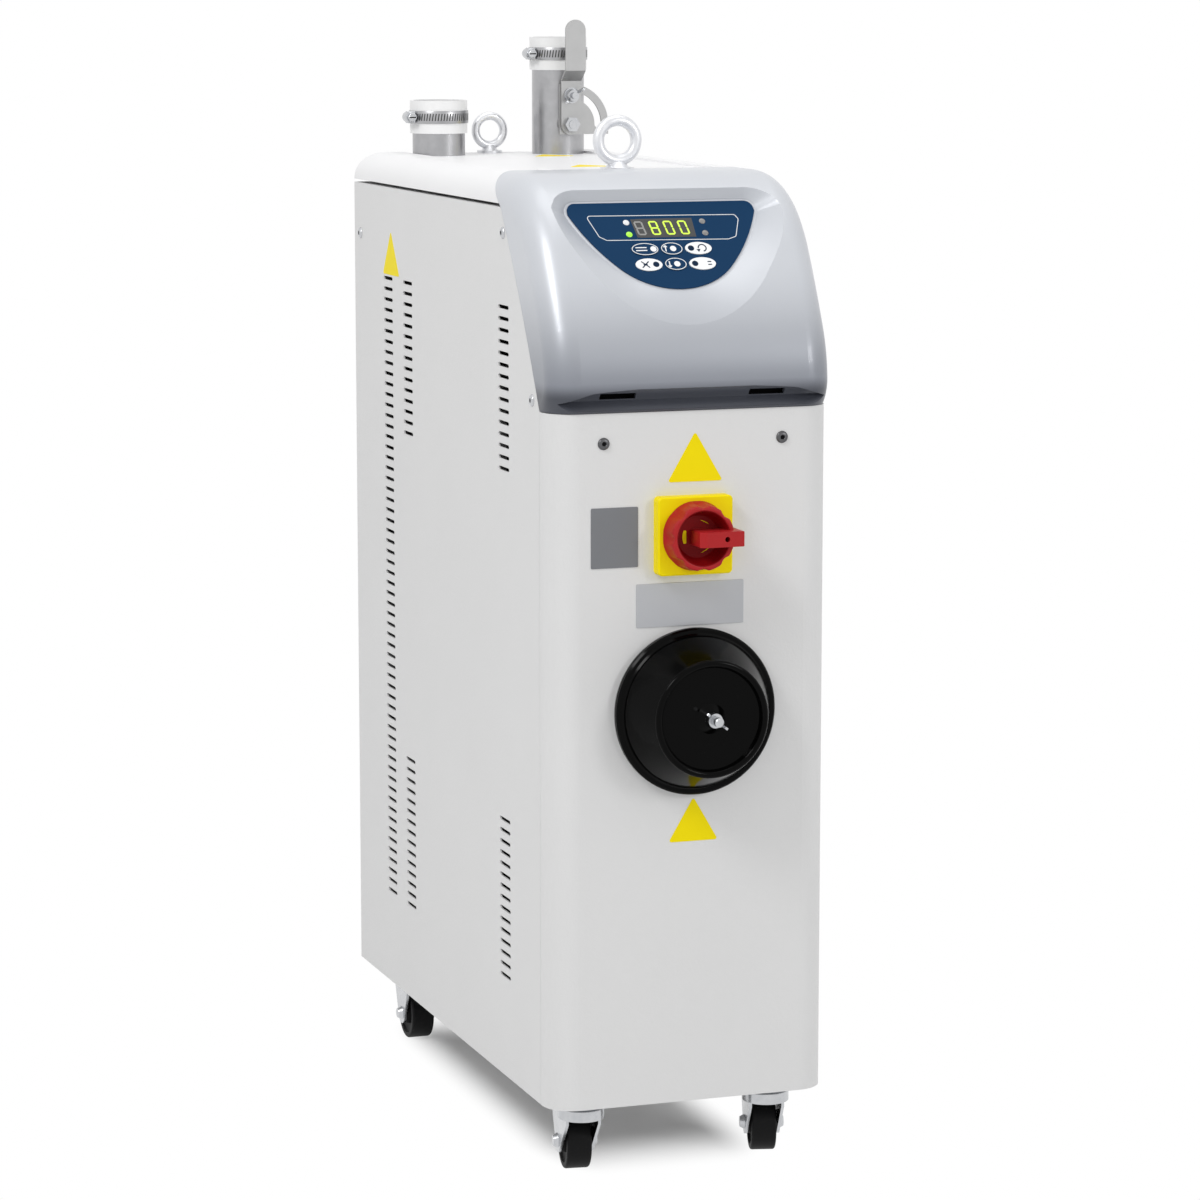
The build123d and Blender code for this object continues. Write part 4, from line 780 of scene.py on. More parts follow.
@dataclass(frozen=True)
class KeyPrint:
    """Print on one key of the dial.

    Attributes:
        body: Body of the key.
        place: Its middle, across and up.
        width: Its width.
        outlined: Whether it is blue with a white rim.
        dot: Place of its round dot across, from its middle.
        strokes: Ends of its mark's strokes, from its middle. Without any, the mark is a round arrow.
    """

    body: Body
    place: Point2
    width: float
    outlined: bool
    dot: float
    strokes: tuple[tuple[Point2, Point2], ...] = ()

    @property
    def ink(self) -> Palette:
        """Finish of its dot and mark."""
        return Palette.WHITE_INK if self.outlined else Palette.DARK_INK


@dataclass
class DialPrint(Assembly):
    """Printed lines, digits, lamps and key marks on the dial.

    Attributes:
        shop: Maker of pieces and materials.
        film: Height of the overlay's face over the dial's plane.
        key_top: Height of a key's face.
        ink: Thickness of a print.
        line: Corners of the white outline.
        line_corner: Radius of those corners.
        line_radius: Half of the outline's width.
        digits: Bars that each digit shows.
        unlit: Number of digits that are unlit.
        first_digit: Place of the first digit across.
        digit_step: Distance from one digit to the next.
        digit_window: Corners of a digit's window, from its place.
        digit_foot: Lower left end of a digit, from its place.
        digit_size: Width and height of a digit.
        digit_lean: How far its top leans to the left.
        digit_stroke: Width of its bars.
        lamps: Place and finish of each lamp.
        lens: Profile of a lamp.
        rim_inset: How much narrower than its key a rim is.
        rim_height: Height of a rim.
        rim_radius: Half of a rim's width.
        dot_size: Width of a dot.
        mark_stroke: Width of a mark's strokes.
        arrow_shift: Place of the round arrow across, from its key's middle.
        arrow_radii: Outer and inner radius of its arc.
        arrow_sweep: Start and step of its arc in degrees, and the number of points.
        arrow_tip: Corners of its tip, from the arc's middle.
    """

    shop: Workshop
    film: float = 1.2
    key_top: float = 1.8
    ink: float = 0.12
    line: tuple[Point2, ...] = (
        (-69.3, 114.5), (65.5, 113.2), (68.0, 108.4), (61.5, 90.0), (54.0, 87.4), (-56.0, 88.6),
        (-62.0, 92.5),
    )
    line_corner: float = 2.6
    line_radius: float = 0.35
    digits: tuple[str, ...] = ("abcdefg", "abcdefg", "abcdef", "abcdef")
    unlit: int = 1
    first_digit: float = -22.6
    digit_step: float = 13.1
    digit_window: tuple[Point2, ...] = ((-5.2, 91.0), (7.3, 91.0), (4.8, 110.2), (-7.7, 110.2))
    digit_foot: Point2 = (-3.0, 94.0)
    digit_size: Point2 = (6.4, 13.2)
    digit_lean: float = 2.0
    digit_stroke: float = 1.5
    lamps: tuple[tuple[float, float, Palette], ...] = (
        (-34.5, 107.0, Palette.LAMP_WHITE), (-34.5, 94.5, Palette.LAMP_GREEN),
        (34.5, 107.0, Palette.LAMP_GREY), (34.5, 94.5, Palette.LAMP_GREY),
    )
    lens: tuple[Point2, ...] = ((2.8, 0.0), (2.8, 1.25), (2.5, 1.55), (1.6, 1.75), (0.0, 1.8))
    rim_inset: float = 0.9
    rim_height: float = 11.8
    rim_radius: float = 0.38
    dot_size: float = 5.6
    mark_stroke: float = 1.0
    arrow_shift: float = 3.4
    arrow_radii: Point2 = (4.0, 3.0)
    arrow_sweep: tuple[int, int, int] = (-80, 11, 25)
    arrow_tip: tuple[Point2, ...] = ((-5.4, -1.2), (-1.8, -1.2), (-3.8, -4.2))

    SEGMENTS = {
        "a": ((0.0, 1.0), (1.0, 1.0)), "b": ((1.0, 1.0), (1.0, 0.5)), "c": ((1.0, 0.5), (1.0, 0.0)),
        "d": ((0.0, 0.0), (1.0, 0.0)), "e": ((0.0, 0.5), (0.0, 0.0)), "f": ((0.0, 1.0), (0.0, 0.5)),
        "g": ((0.0, 0.5), (1.0, 0.5)),
    }
    KEYS = (
        KeyPrint(Body.ALARM_KEY, (-24.2, 78.3), 24.0, True, 7.6,
                 (((-8.5, 1.6), (2.0, 1.6)), ((-8.5, -1.4), (2.0, -1.4)))),
        KeyPrint(Body.RAISE_KEY, (0.0, 78.3), 19.3, True, 1.2,
                 (((-5.6, -3.2), (-5.6, 3.4)), ((-7.2, 1.4), (-5.4, 3.6)), ((-4.0, 1.4), (-5.8, 3.6)))),
        KeyPrint(Body.CYCLE_KEY, (24.2, 78.3), 24.0, False, -6.8),
        KeyPrint(Body.MUTE_KEY, (-24.2, 62.2), 24.0, False, 6.4,
                 (((-6.6, -3.4), (0.4, 3.4)), ((-6.6, 3.4), (0.4, -3.4)), ((-5.2, 0.0), (-1.0, 0.0)))),
        KeyPrint(Body.LOWER_KEY, (0.0, 62.2), 19.3, True, 1.2,
                 (((-5.6, 3.2), (-5.6, -3.4)), ((-7.2, -1.4), (-5.4, -3.6)), ((-4.0, -1.4), (-5.8, -3.6)))),
        KeyPrint(Body.POWER_KEY, (24.2, 62.2), 24.0, False, -6.8,
                 (((4.6, 1.6), (8.4, 1.6)), ((4.6, -1.4), (8.4, -1.4)))),
    )

    def dress(self) -> None:
        """Lay all the prints."""
        self._frame_line()
        self._digits()
        self._lamps()
        self._keys()

    def _frame_line(self) -> None:
        """White outline round display and lamps."""
        outline = rounded(self.line, self.line_corner)
        points = [DIAL.point(x, y, self.film + LIFT) for x, y in outline]
        self.shop.wire("dial_frame_line", points, self.line_radius, Palette.WHITE_INK, Body.CABINET,
                       closed=True)

    @staticmethod
    def _bar(start: Point2, end: Point2, width: float) -> list[Point2]:
        """Give a six-sided bar between two points.

        Args:
            start: One end.
            end: Other end.
            width: Its width.

        Returns:
            The outline.
        """
        a = Vector(start)
        b = Vector(end)
        along = (b - a).normalized()
        side = Vector((-along.y, along.x)) * width / 2
        tip = along * width / 2
        corners = (a, a + tip + side, b - tip + side, b, b - tip - side, a + tip - side)
        return [(spot.x, spot.y) for spot in corners]

    def _digits(self) -> None:
        """Digits of leaning bars, each on its window."""
        film = DIAL.raised(self.film)
        face = DIAL.raised(self.film + self.ink)
        for index, bars in enumerate(self.digits):
            left = self.first_digit + self.digit_step * index
            window = [(left + x, y) for x, y in self.digit_window]
            self.shop.plate(f"digit_window_{index + 1}", window, film, self.ink, Palette.WINDOW, Body.CABINET)
            finish = Palette.DIGIT_OFF if index < self.unlit else Palette.DIGIT_ON
            for key in bars:
                start, end = [self._digit_spot(left, u, v) for u, v in self.SEGMENTS[key]]
                outline = self._bar(start, end, self.digit_stroke)
                self.shop.plate(f"digit_{index + 1}{key}", outline, face, self.ink, finish, Body.CABINET)

    def _digit_spot(self, left: float, u: float, v: float) -> Point2:
        """Place a corner of a leaning digit.

        Args:
            left: Place of the digit across.
            u: Share of its width, from 0 to 1.
            v: Share of its height, from 0 to 1.

        Returns:
            The place on the dial.
        """
        across = left + self.digit_foot[0] + self.digit_size[0] * u - self.digit_lean * v
        return across, self.digit_foot[1] + self.digit_size[1] * v

    def _lamps(self) -> None:
        """Four round lamp lenses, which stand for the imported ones."""
        for index, (x, y, finish) in enumerate(self.lamps):
            self.shop.lathe(
                f"lamp_{index + 1}", self.lens, tuple(DIAL.point(x, y)), tuple(DIAL.normal), finish,
                Body.CABINET, segments=32, replaces=("indicator_lamps",) if index == 0 else (),
            )

    def _keys(self) -> None:
        """Rims, dots and plain marks on the six keys."""
        plane = DIAL.raised(self.key_top)
        for key in self.KEYS:
            x, y = key.place
            name = key.body.value
            if key.outlined:
                rim = oval(x, y, key.width - self.rim_inset, self.rim_height)
                ring = [DIAL.point(u, v, self.key_top) for u, v in rim]
                self.shop.wire(f"{name}_rim", ring, self.rim_radius, Palette.WHITE_INK, key.body, closed=True)
            dot = oval(x + key.dot, y, self.dot_size, self.dot_size, steps=28)
            self.shop.plate(f"{name}_dot", dot, plane, self.ink, key.ink, key.body)
            for part, outline in enumerate(self._mark(key)):
                self.shop.plate(f"{name}_mark_{part + 1}", outline, plane, self.ink, key.ink, key.body)

    def _mark(self, key: KeyPrint) -> list[list[Point2]]:
        """Give the plain mark of a key.

        Args:
            key: The key.

        Returns:
            Outlines of the mark's strokes.
        """
        x, y = key.place
        if not key.strokes:
            return self._round_arrow(x + self.arrow_shift, y)
        return [
            self._bar((x + a[0], y + a[1]), (x + b[0], y + b[1]), self.mark_stroke) for a, b in key.strokes
        ]

    def _round_arrow(self, x: float, y: float) -> list[list[Point2]]:
        """Give an arc and its arrow tip.

        Args:
            x: Middle of the arc across.
            y: Middle of the arc up.

        Returns:
            Outlines of the arc and the tip.
        """
        start, step, count = self.arrow_sweep
        sweep = [math.radians(start + step * k) for k in range(count)]
        outer, inner = self.arrow_radii
        arc = [(x + outer * math.cos(a), y + outer * math.sin(a)) for a in sweep]
        arc += [(x + inner * math.cos(a), y + inner * math.sin(a)) for a in reversed(sweep)]
        return [arc, [(x + u, y + v) for u, v in self.arrow_tip]]


@dataclass(frozen=True)
class BarePlate:
    """A bare plate on the front panel.

    Attributes:
        name: Name of the piece.
        low: Its low left corner.
        high: Its high right corner.
        corner: Corner radius.
        sheet: Thickness.
        bevel: Width of its edge round.
        finish: Entry of the palette.
    """

    name: str
    low: Point2
    high: Point2
    corner: float
    sheet: float
    bevel: float
    finish: Palette


@dataclass
class SignPlates(Assembly):
    """Blank plates, plain yellow triangles and a dark sheet of painted shade behind the hood's lip slots.

    Attributes:
        shop: Maker of pieces and materials.
        screen: Low left and high right corner of the dark sheet of painted shade behind the lip slots.
        slot_shade_depth: How far that sheet lies behind the front.
        slot_shade_sheet: Thickness of that sheet.
        front_triangles: Names and corners of the triangles on the front, across and up.
        side_triangle: Corners of the triangle on the left panel, along the depth and up.
        roof_triangles: Names and middles of the triangles on the roof.
        roof_shape: Corners of a roof triangle, from its middle.
        triangle_corner: Corner radius of a triangle.
        triangle_sheet: Thickness of a triangle.
    """

    shop: Workshop
    screen: tuple[Point2, Point2] = ((-92.0, SLOT_Z - 8.0), (92.0, SLOT_Z + 12.0))
    slot_shade_depth: float = 15.0
    slot_shade_sheet: float = 0.6
    front_triangles: tuple[tuple[str, tuple[Point2, ...]], ...] = (
        ("triangle_upper", ((-23.2, 611.7), (26.4, 611.7), (1.5, 654.0))),
        ("triangle_lower", ((-21.6, 301.4), (23.4, 301.4), (1.0, 339.6))),
    )
    side_triangle: tuple[Point2, ...] = ((-223.0, 756.5), (-170.0, 756.5), (-197.0, 797.0))
    roof_triangles: tuple[tuple[str, float, float], ...] = (
        ("triangle_roof_rear", 36.0, 213.0), ("triangle_roof_front", 0.0, 2.0),
    )
    roof_shape: tuple[Point2, ...] = ((-20.0, -14.0), (20.0, -14.0), (0.0, 21.0))
    triangle_corner: float = 1.5
    triangle_sheet: float = 0.3

    PLATES = (
        BarePlate("blank_plate", (-51.2, 488.8), (45.7, 526.0), 0.8, 0.8, 0.2, Palette.PLATE_GREY),
        BarePlate("small_plate", (-91.7, 541.0), (-49.7, 592.3), 1.0, 0.6, 0.15, Palette.PLATE_DARK),
    )

    def dress(self) -> None:
        """Stick on every plate."""
        front = facing_front(0, 0)
        # A dark sheet inside the hood paints the shade that shows through the lip slots.
        behind = facing_front(0, 0, FRONT_Y + self.slot_shade_depth)
        self.shop.plate("lip_slot_shade", rectangle(*self.screen), behind, self.slot_shade_sheet,
                        Palette.PAINTED_SHADE, Body.CABINET)
        for plate in self.PLATES:
            outline = rounded(rectangle(plate.low, plate.high), plate.corner)
            self.shop.plate(plate.name, outline, front, plate.sheet, plate.finish, Body.CABINET,
                            bevel=plate.bevel)
        for name, corners in self.front_triangles:
            self._triangle(name, corners, front)
        side = Plane((-HALF_WIDTH, 0.0, 0.0), (0, -1, 0), (0, 0, 1))
        self._triangle("triangle_side", self.side_triangle, side)
        roof = Plane((0.0, 0.0, ROOF_Z), (1, 0, 0), (0, 1, 0))
        for name, x, y in self.roof_triangles:
            self._triangle(name, [(x + u, y + v) for u, v in self.roof_shape], roof)

    def _triangle(self, name: str, corners: Sequence[Point2], plane: Plane) -> None:
        """Stick on a plain yellow triangle.

        Args:
            name: Name of the piece.
            corners: Its corners in the plane.
            plane: Plane that it lies on.
        """
        shape = rounded(corners, self.triangle_corner)
        self.shop.plate(name, shape, plane, self.triangle_sheet, Palette.YELLOW, Body.CABINET)


@dataclass
class MainSwitch(Assembly):
    """Red handle: lobed ring with a bowl, floor windows and a drilled grip.

    Attributes:
        shop: Maker of pieces and materials.
        centre: Middle of the handle across and up.
        base: Depth of the plate's face.
        lobes: Number of lobes on the ring.
        ring: Radius, scoop depth and height of each loop of the ring.
        ring_steps: Points on a loop.
        scoop_power: How narrow the scoops are.
        bowl: Radius and height pairs of the bowl.
        bowl_floor: Height of the bowl's floor.
        windows: Angle, inner end and half width of each window.
        window_end: Outer end of the windows.
        window_corner: Corner radius of a window.
        film: Thickness of a window.
        grip_ends: Inner and outer end of the grip.
        grip_half: Half of the grip's height in the row frame.
        grip_corner: Corner radius of the grip.
        grip_foot: How far over the plate the grip starts.
        grip_length: How far the grip stands out from there.
        drill_place: Place of the drilled hole along the grip.
        drill_size: Width of that hole.
        nose_start: Where the slanted nose meets the grip's face.
        nose_normal: Direction that the nose faces.
    """

    shop: Workshop
    centre: Point2 = (-2.0, 567.0)
    base: float = FRONT_Y - 12.0
    lobes: int = 8
    ring: tuple[Point3, ...] = (
        (23.9, 0.0, 0.35), (29.9, 0.3, 0.35), (29.8, 0.5, 1.2), (29.0, 1.2, 3.4), (28.5, 1.8, 8.0),
        (28.2, 2.2, 15.0), (28.0, 2.2, 18.2), (27.6, 2.1, 19.4), (26.7, 1.8, 20.0), (24.4, 0.2, 20.0),
        (23.9, 0.0, 19.8), (23.9, 0.0, 0.35),
    )
    ring_steps: int = 192
    scoop_power: float = 1.2
    bowl: tuple[Point2, ...] = (
        (0.0, 0.4), (23.8, 0.4), (23.8, 19.8), (23.3, 19.7), (22.9, 18.9), (21.8, 14.0), (18.9, 5.9),
        (18.0, 5.2), (5.0, 5.0), (0.0, 5.0),
    )
    bowl_floor: float = 5.0
    windows: tuple[Point3, ...] = ((180.0, 10.6, 5.6), (64.0, 13.4, 4.6), (-62.0, 13.4, 4.6))
    window_end: float = 16.8
    window_corner: float = 0.8
    film: float = 0.12
    grip_ends: Point2 = (-7.0, 32.0)
    grip_half: float = 6.5
    grip_corner: float = 0.8
    grip_foot: float = 4.0
    grip_length: float = 27.0
    drill_place: float = 17.0
    drill_size: float = 4.6
    nose_start: float = -1.0
    nose_normal: Point3 = (-2.6, -6.0, 0.0)

    def dress(self) -> None:
        """Make ring, bowl, windows and grip."""
        self._ring()
        self._bowl()
        self._windows()
        self._grip()

    def _over_plate(self, height: float) -> Plane:
        """Give the plane round the handle's middle.

        Args:
            height: How far over the plate's face it lies.

        Returns:
            The plane, with its normal towards the viewer.
        """
        return facing_front(self.centre[0], self.centre[1], self.base - height)

    def _ring(self) -> None:
        """Ring with broad lobes and scoops between them, wider at the plate than at the rim."""
        mesh = bmesh.new()
        loops = []
        plane = self._over_plate(0.0)
        for radius, scoop, height in self.ring:
            loop = []
            for step in range(self.ring_steps):
                angle = math.tau * step / self.ring_steps
                reach = radius - scoop * max(0.0, math.cos(self.lobes * angle)) ** self.scoop_power
                spot = plane.point(reach * math.cos(angle), reach * math.sin(angle), height)
                loop.append(mesh.verts.new(spot))
            loops.append(loop)
        for low, high in zip(loops, loops[1:]):
            for step in range(self.ring_steps):
                after = (step + 1) % self.ring_steps
                mesh.faces.new((low[step], low[after], high[after], high[step]))
        bmesh.ops.remove_doubles(mesh, verts=mesh.verts, dist=WELD)
        self.shop.from_bmesh("switch_ring", mesh, Palette.RED, Body.SWITCH, sharp=50.0,
                             replaces=("switch_handle",))

    def _bowl(self) -> None:
        """Dished inner side of the ring with its floor, in a darker copy of the ring's red: painted shade."""
        origin = (self.centre[0], self.base, self.centre[1])
        self.shop.lathe("switch_bowl", self.bowl, origin, (0.0, -1.0, 0.0), Palette.RED_SHADE, Body.SWITCH)

    def _windows(self) -> None:
        """Position windows in the bowl's floor, where the plate shows."""
        plane = self._over_plate(self.bowl_floor + LIFT)
        for index, (angle, inner, half) in enumerate(self.windows):
            turn = Matrix.Rotation(math.radians(angle), 2)
            corners = [turn @ Vector(c) for c in rectangle((inner, -half), (self.window_end, half))]
            outline = rounded([(c.x, c.y) for c in corners], self.window_corner)
            self.shop.plate(f"switch_window_{index + 1}", outline, plane, self.film, Palette.YELLOW,
                            Body.SWITCH)

    def _grip(self) -> None:
        """Grip bar, drilled from the front, with a slanted nose at its inner end."""
        plane = self._over_plate(self.grip_foot)
        inner, outer = self.grip_ends
        outline = rounded(rectangle((inner, -self.grip_half), (outer, self.grip_half)), self.grip_corner)
        hole = oval(self.drill_place, 0.0, self.drill_size, self.drill_size, steps=32)
        bar = self.shop.slab(outline, plane, self.grip_length, holes=(hole,))
        cut = bmesh.ops.bisect_plane(
            bar,
            geom=[*bar.verts, *bar.edges, *bar.faces],
            plane_co=plane.point(self.nose_start, 0.0, self.grip_length),
            plane_no=Vector(self.nose_normal),
            clear_outer=True,
        )
        edges = [item for item in cut["geom_cut"] if isinstance(item, bmesh.types.BMEdge)]
        bmesh.ops.holes_fill(bar, edges=edges)
        self.shop.from_bmesh("switch_grip", bar, Palette.RED, Body.SWITCH, bevel=0.5, sharp=18.0)


@dataclass
class HoseClamps(Assembly):
    """Band clamps with painted shade in their slots, worm housings and hexagon screws.

    Attributes:
        shop: Maker of pieces and materials.
        places: Name, across place and lower edge height of each band.
        back: Depth of the stubs' axes.
        radius: Inner radius of a band.
        width: Height of a band.
        wall: Thickness of a band in its middle and at its edges.
        edge: Height of a band's thin edge.
        slots: Number of slots in a band.
        slot_half: Half of a slot's width, as an angle.
        slot_lean: How far each end of a slot leans, as an angle.
        slot_heights: Lower and upper end of a slot.
        slot_reach: Inner and outer face of a slot's dark filling, which is painted shade, over the inner
            radius.
        worm_out: How far outside the band the worm's axis lies.
        housing: Radius and depth pairs of the worm housing.
        housing_back: How far behind the stub's axis the housing starts.
        saddle: Opposite corners of the saddle in plan.
        saddle_front: How far in front of the stub's axis the saddle's zero lies.
        saddle_height: Height of the saddle.
        screw_radius: Radius to the corners of the hexagon.
        screw_front: How far in front of the stub's axis the hexagon starts.
        screw_length: Length of the hexagon.
        slit: Opposite corners of the screwdriver slit.
        slit_shade_sheet: Thickness of the dark sheet on the screw's tip that paints the slit's shade.
    """

    shop: Workshop
    places: tuple[tuple[str, float, float], ...] = (("return", -60.0, 895.5), ("supply", 60.0, 954.5))
    back: float = 261.0
    radius: float = 27.33
    width: float = 12.0
    wall: Point2 = (0.95, 0.75)
    edge: float = 0.35
    slots: int = 64
    slot_half: float = 0.020
    slot_lean: float = 0.018
    slot_heights: Point2 = (2.6, 9.4)
    slot_reach: Point2 = (0.9, 0.99)
    worm_out: float = 3.6
    housing: tuple[Point2, ...] = (
        (0.0, 0.0), (4.3, 0.0), (5.0, 0.6), (5.2, 2.0), (5.2, 12.6), (5.0, 13.6), (4.4, 14.2),
        (3.4, 14.2), (3.4, 12.8), (0.0, 12.8),
    )
    housing_back: float = 1.4
    saddle: tuple[Point2, Point2] = ((-3.6, -6.4), (4.6, 1.4))
    saddle_front: float = 6.0
    saddle_height: float = 11.2
    screw_radius: float = 4.4
    screw_front: float = 13.0
    screw_length: float = 5.2
    slit: tuple[Point2, Point2] = ((-3.2, -0.55), (3.2, 0.55))
    slit_shade_sheet: float = 0.06

    def dress(self) -> None:
        """Make both clamps."""
        inner = self.radius
        outer, thin = (inner + wall for wall in self.wall)
        profile = [
            (inner, 0.0), (thin, 0.0), (outer, self.edge), (outer, self.width - self.edge),
            (thin, self.width), (inner, self.width), (inner, 0.0),
        ]
        for index, (name, x, low) in enumerate(self.places):
            self.shop.lathe(f"{name}_band", profile, (x, self.back, low), (0, 0, 1), Palette.STEEL,
                            Body.CABINET, segments=128, replaces=("hose_clamps",) if index == 0 else ())
            self._shade_the_slots(name, x, low)
            self._worm(name, x, low)

    def _shade_the_slots(self, name: str, x: float, low: float) -> None:
        """Dark fillings of painted shade in the slots stamped round a band.

        Args:
            name: Which clamp.
            x: Its place across.
            low: Height of its lower edge.
        """
        mesh = bmesh.new()
        foot, head = self.slot_heights
        for step in range(self.slots):
            middle = math.tau * step / self.slots
            corners = []
            for side, height, lean in ((-1, foot, -1), (1, foot, -1), (1, head, 1), (-1, head, 1)):
                angle = middle + side * self.slot_half + lean * self.slot_lean
                for over in self.slot_reach:
                    reach = self.radius + over
                    spot = (x + reach * math.cos(angle), self.back + reach * math.sin(angle), low + height)
                    corners.append(mesh.verts.new(spot))
            inner, outer = corners[0::2], corners[1::2]
            mesh.faces.new(outer)
            mesh.faces.new(list(reversed(inner)))
            for k in range(4):
                after = (k + 1) % 4
                mesh.faces.new((inner[k], inner[after], outer[after], outer[k]))
        # The slot fillings are painted shade.
        self.shop.from_bmesh(f"{name}_clamp_slot_shade", mesh, Palette.SLOT_SHADE, Body.CABINET)

    def _worm(self, name: str, x: float, low: float) -> None:
        """Worm housing and its screw, with painted shade for the screw's slit.

        Args:
            name: Which clamp.
            x: Its place across.
            low: Height of its lower edge.
        """
        side = x - self.radius - self.worm_out
        height = low + self.width / 2
        self.shop.lathe(f"{name}_worm_housing", self.housing, (side, self.back + self.housing_back, height),
                        (0.0, -1.0, 0.0), Palette.ZINC, Body.CABINET, segments=48)
        foot = (side, self.back - self.saddle_front, height - self.saddle_height / 2)
        self.shop.plate(f"{name}_worm_saddle", rectangle(*self.saddle), Plane(foot, (1, 0, 0), (0, 1, 0)),
                        self.saddle_height, Palette.ZINC, Body.CABINET, bevel=0.8)
        corners = [math.tau * k / 6 for k in range(6)]
        hexagon = [(self.screw_radius * math.cos(a), self.screw_radius * math.sin(a)) for a in corners]
        face = facing_front(side, height, self.back - self.screw_front)
        self.shop.plate(f"{name}_worm_screw", hexagon, face, self.screw_length, Palette.ZINC, Body.CABINET,
                        bevel=0.6)
        # The slit is only a dark sheet on the screw's tip: painted shade.
        tip = facing_front(side, height, self.back - (self.screw_front + self.screw_length))
        self.shop.plate(f"{name}_screw_slit_shade", rectangle(*self.slit), tip, self.slit_shade_sheet, Palette.PAINTED_SHADE,
                        Body.CABINET)


@dataclass
class PanelScrews(Assembly):
    """Button-head screws of the side and front panels, with painted shade on their socket floors.

    Attributes:
        shop: Maker of pieces and materials.
        front: Places on the front panel, across and up.
        side: Places on each side panel, along the depth and up.
        head: Radius and height pairs of a head.
        socket: Radius and height pairs of the dark disc on its socket's floor, which is painted shade.
        socket_floor: Height of that floor.
    """

    shop: Workshop
    front: tuple[Point2, ...] = ((-80.3, 646.5), (80.3, 646.5))
    side: tuple[Point2, ...] = ((300.0, 790.0), (-147.0, 816.5), (-226.0, 680.0))
    head: tuple[Point2, ...] = (
        (5.2, 0.0), (5.2, 0.4), (4.9, 1.2), (4.1, 1.8), (3.0, 2.15), (2.2, 2.2), (2.0, 2.0), (2.0, 0.7),
        (0.0, 0.7),
    )
    socket: tuple[Point2, ...] = ((1.9, 0.0), (1.9, 0.08), (0.0, 0.08))
    socket_floor: float = 0.7

    def dress(self) -> None:
        """Make all the heads."""
        places = [((x, FRONT_Y, z), (0.0, -1.0, 0.0), Palette.SCREW_STEEL) for x, z in self.front]
        for hand in (-1.0, 1.0):
            places += [((hand * HALF_WIDTH, y, z), (hand, 0.0, 0.0), Palette.ZINC) for y, z in self.side]
        for index, (place, axis, finish) in enumerate(places, start=1):
            self.shop.lathe(f"panel_screw_{index}", self.head, place, axis, finish, Body.CABINET, segments=40,
                            replaces=("panel_screws",) if index == 1 else ())
            # A dark disc on the socket's floor: painted shade.
            floor = tuple(Vector(place) + Vector(axis) * self.socket_floor)
            self.shop.lathe(f"screw_socket_shade_{index}", self.socket, floor, axis, Palette.PAINTED_SHADE, Body.CABINET,
                            segments=6)


@dataclass(frozen=True)
class SoftBox:
    """A square lamp.

    Attributes:
        name: Its name.
        place: Where it hangs, in metres.
        target: Point that it looks at.
        size: Length of an edge in metres.
        power: Power in watts.
    """

    name: str
    place: Point3
    target: Point3
    size: float
    power: float

    def hang(self) -> None:
        """Put the lamp into the scene."""
        data = bpy.data.lights.new(self.name, "AREA")
        data.shape = "SQUARE"
        data.size = self.size
        data.energy = self.power
        lamp = bpy.data.objects.new(self.name, data)
        lamp.location = self.place
        lamp.rotation_euler = (Vector(self.target) - Vector(self.place)).to_track_quat("-Z", "Y").to_euler()
        bpy.context.scene.collection.objects.link(lamp)


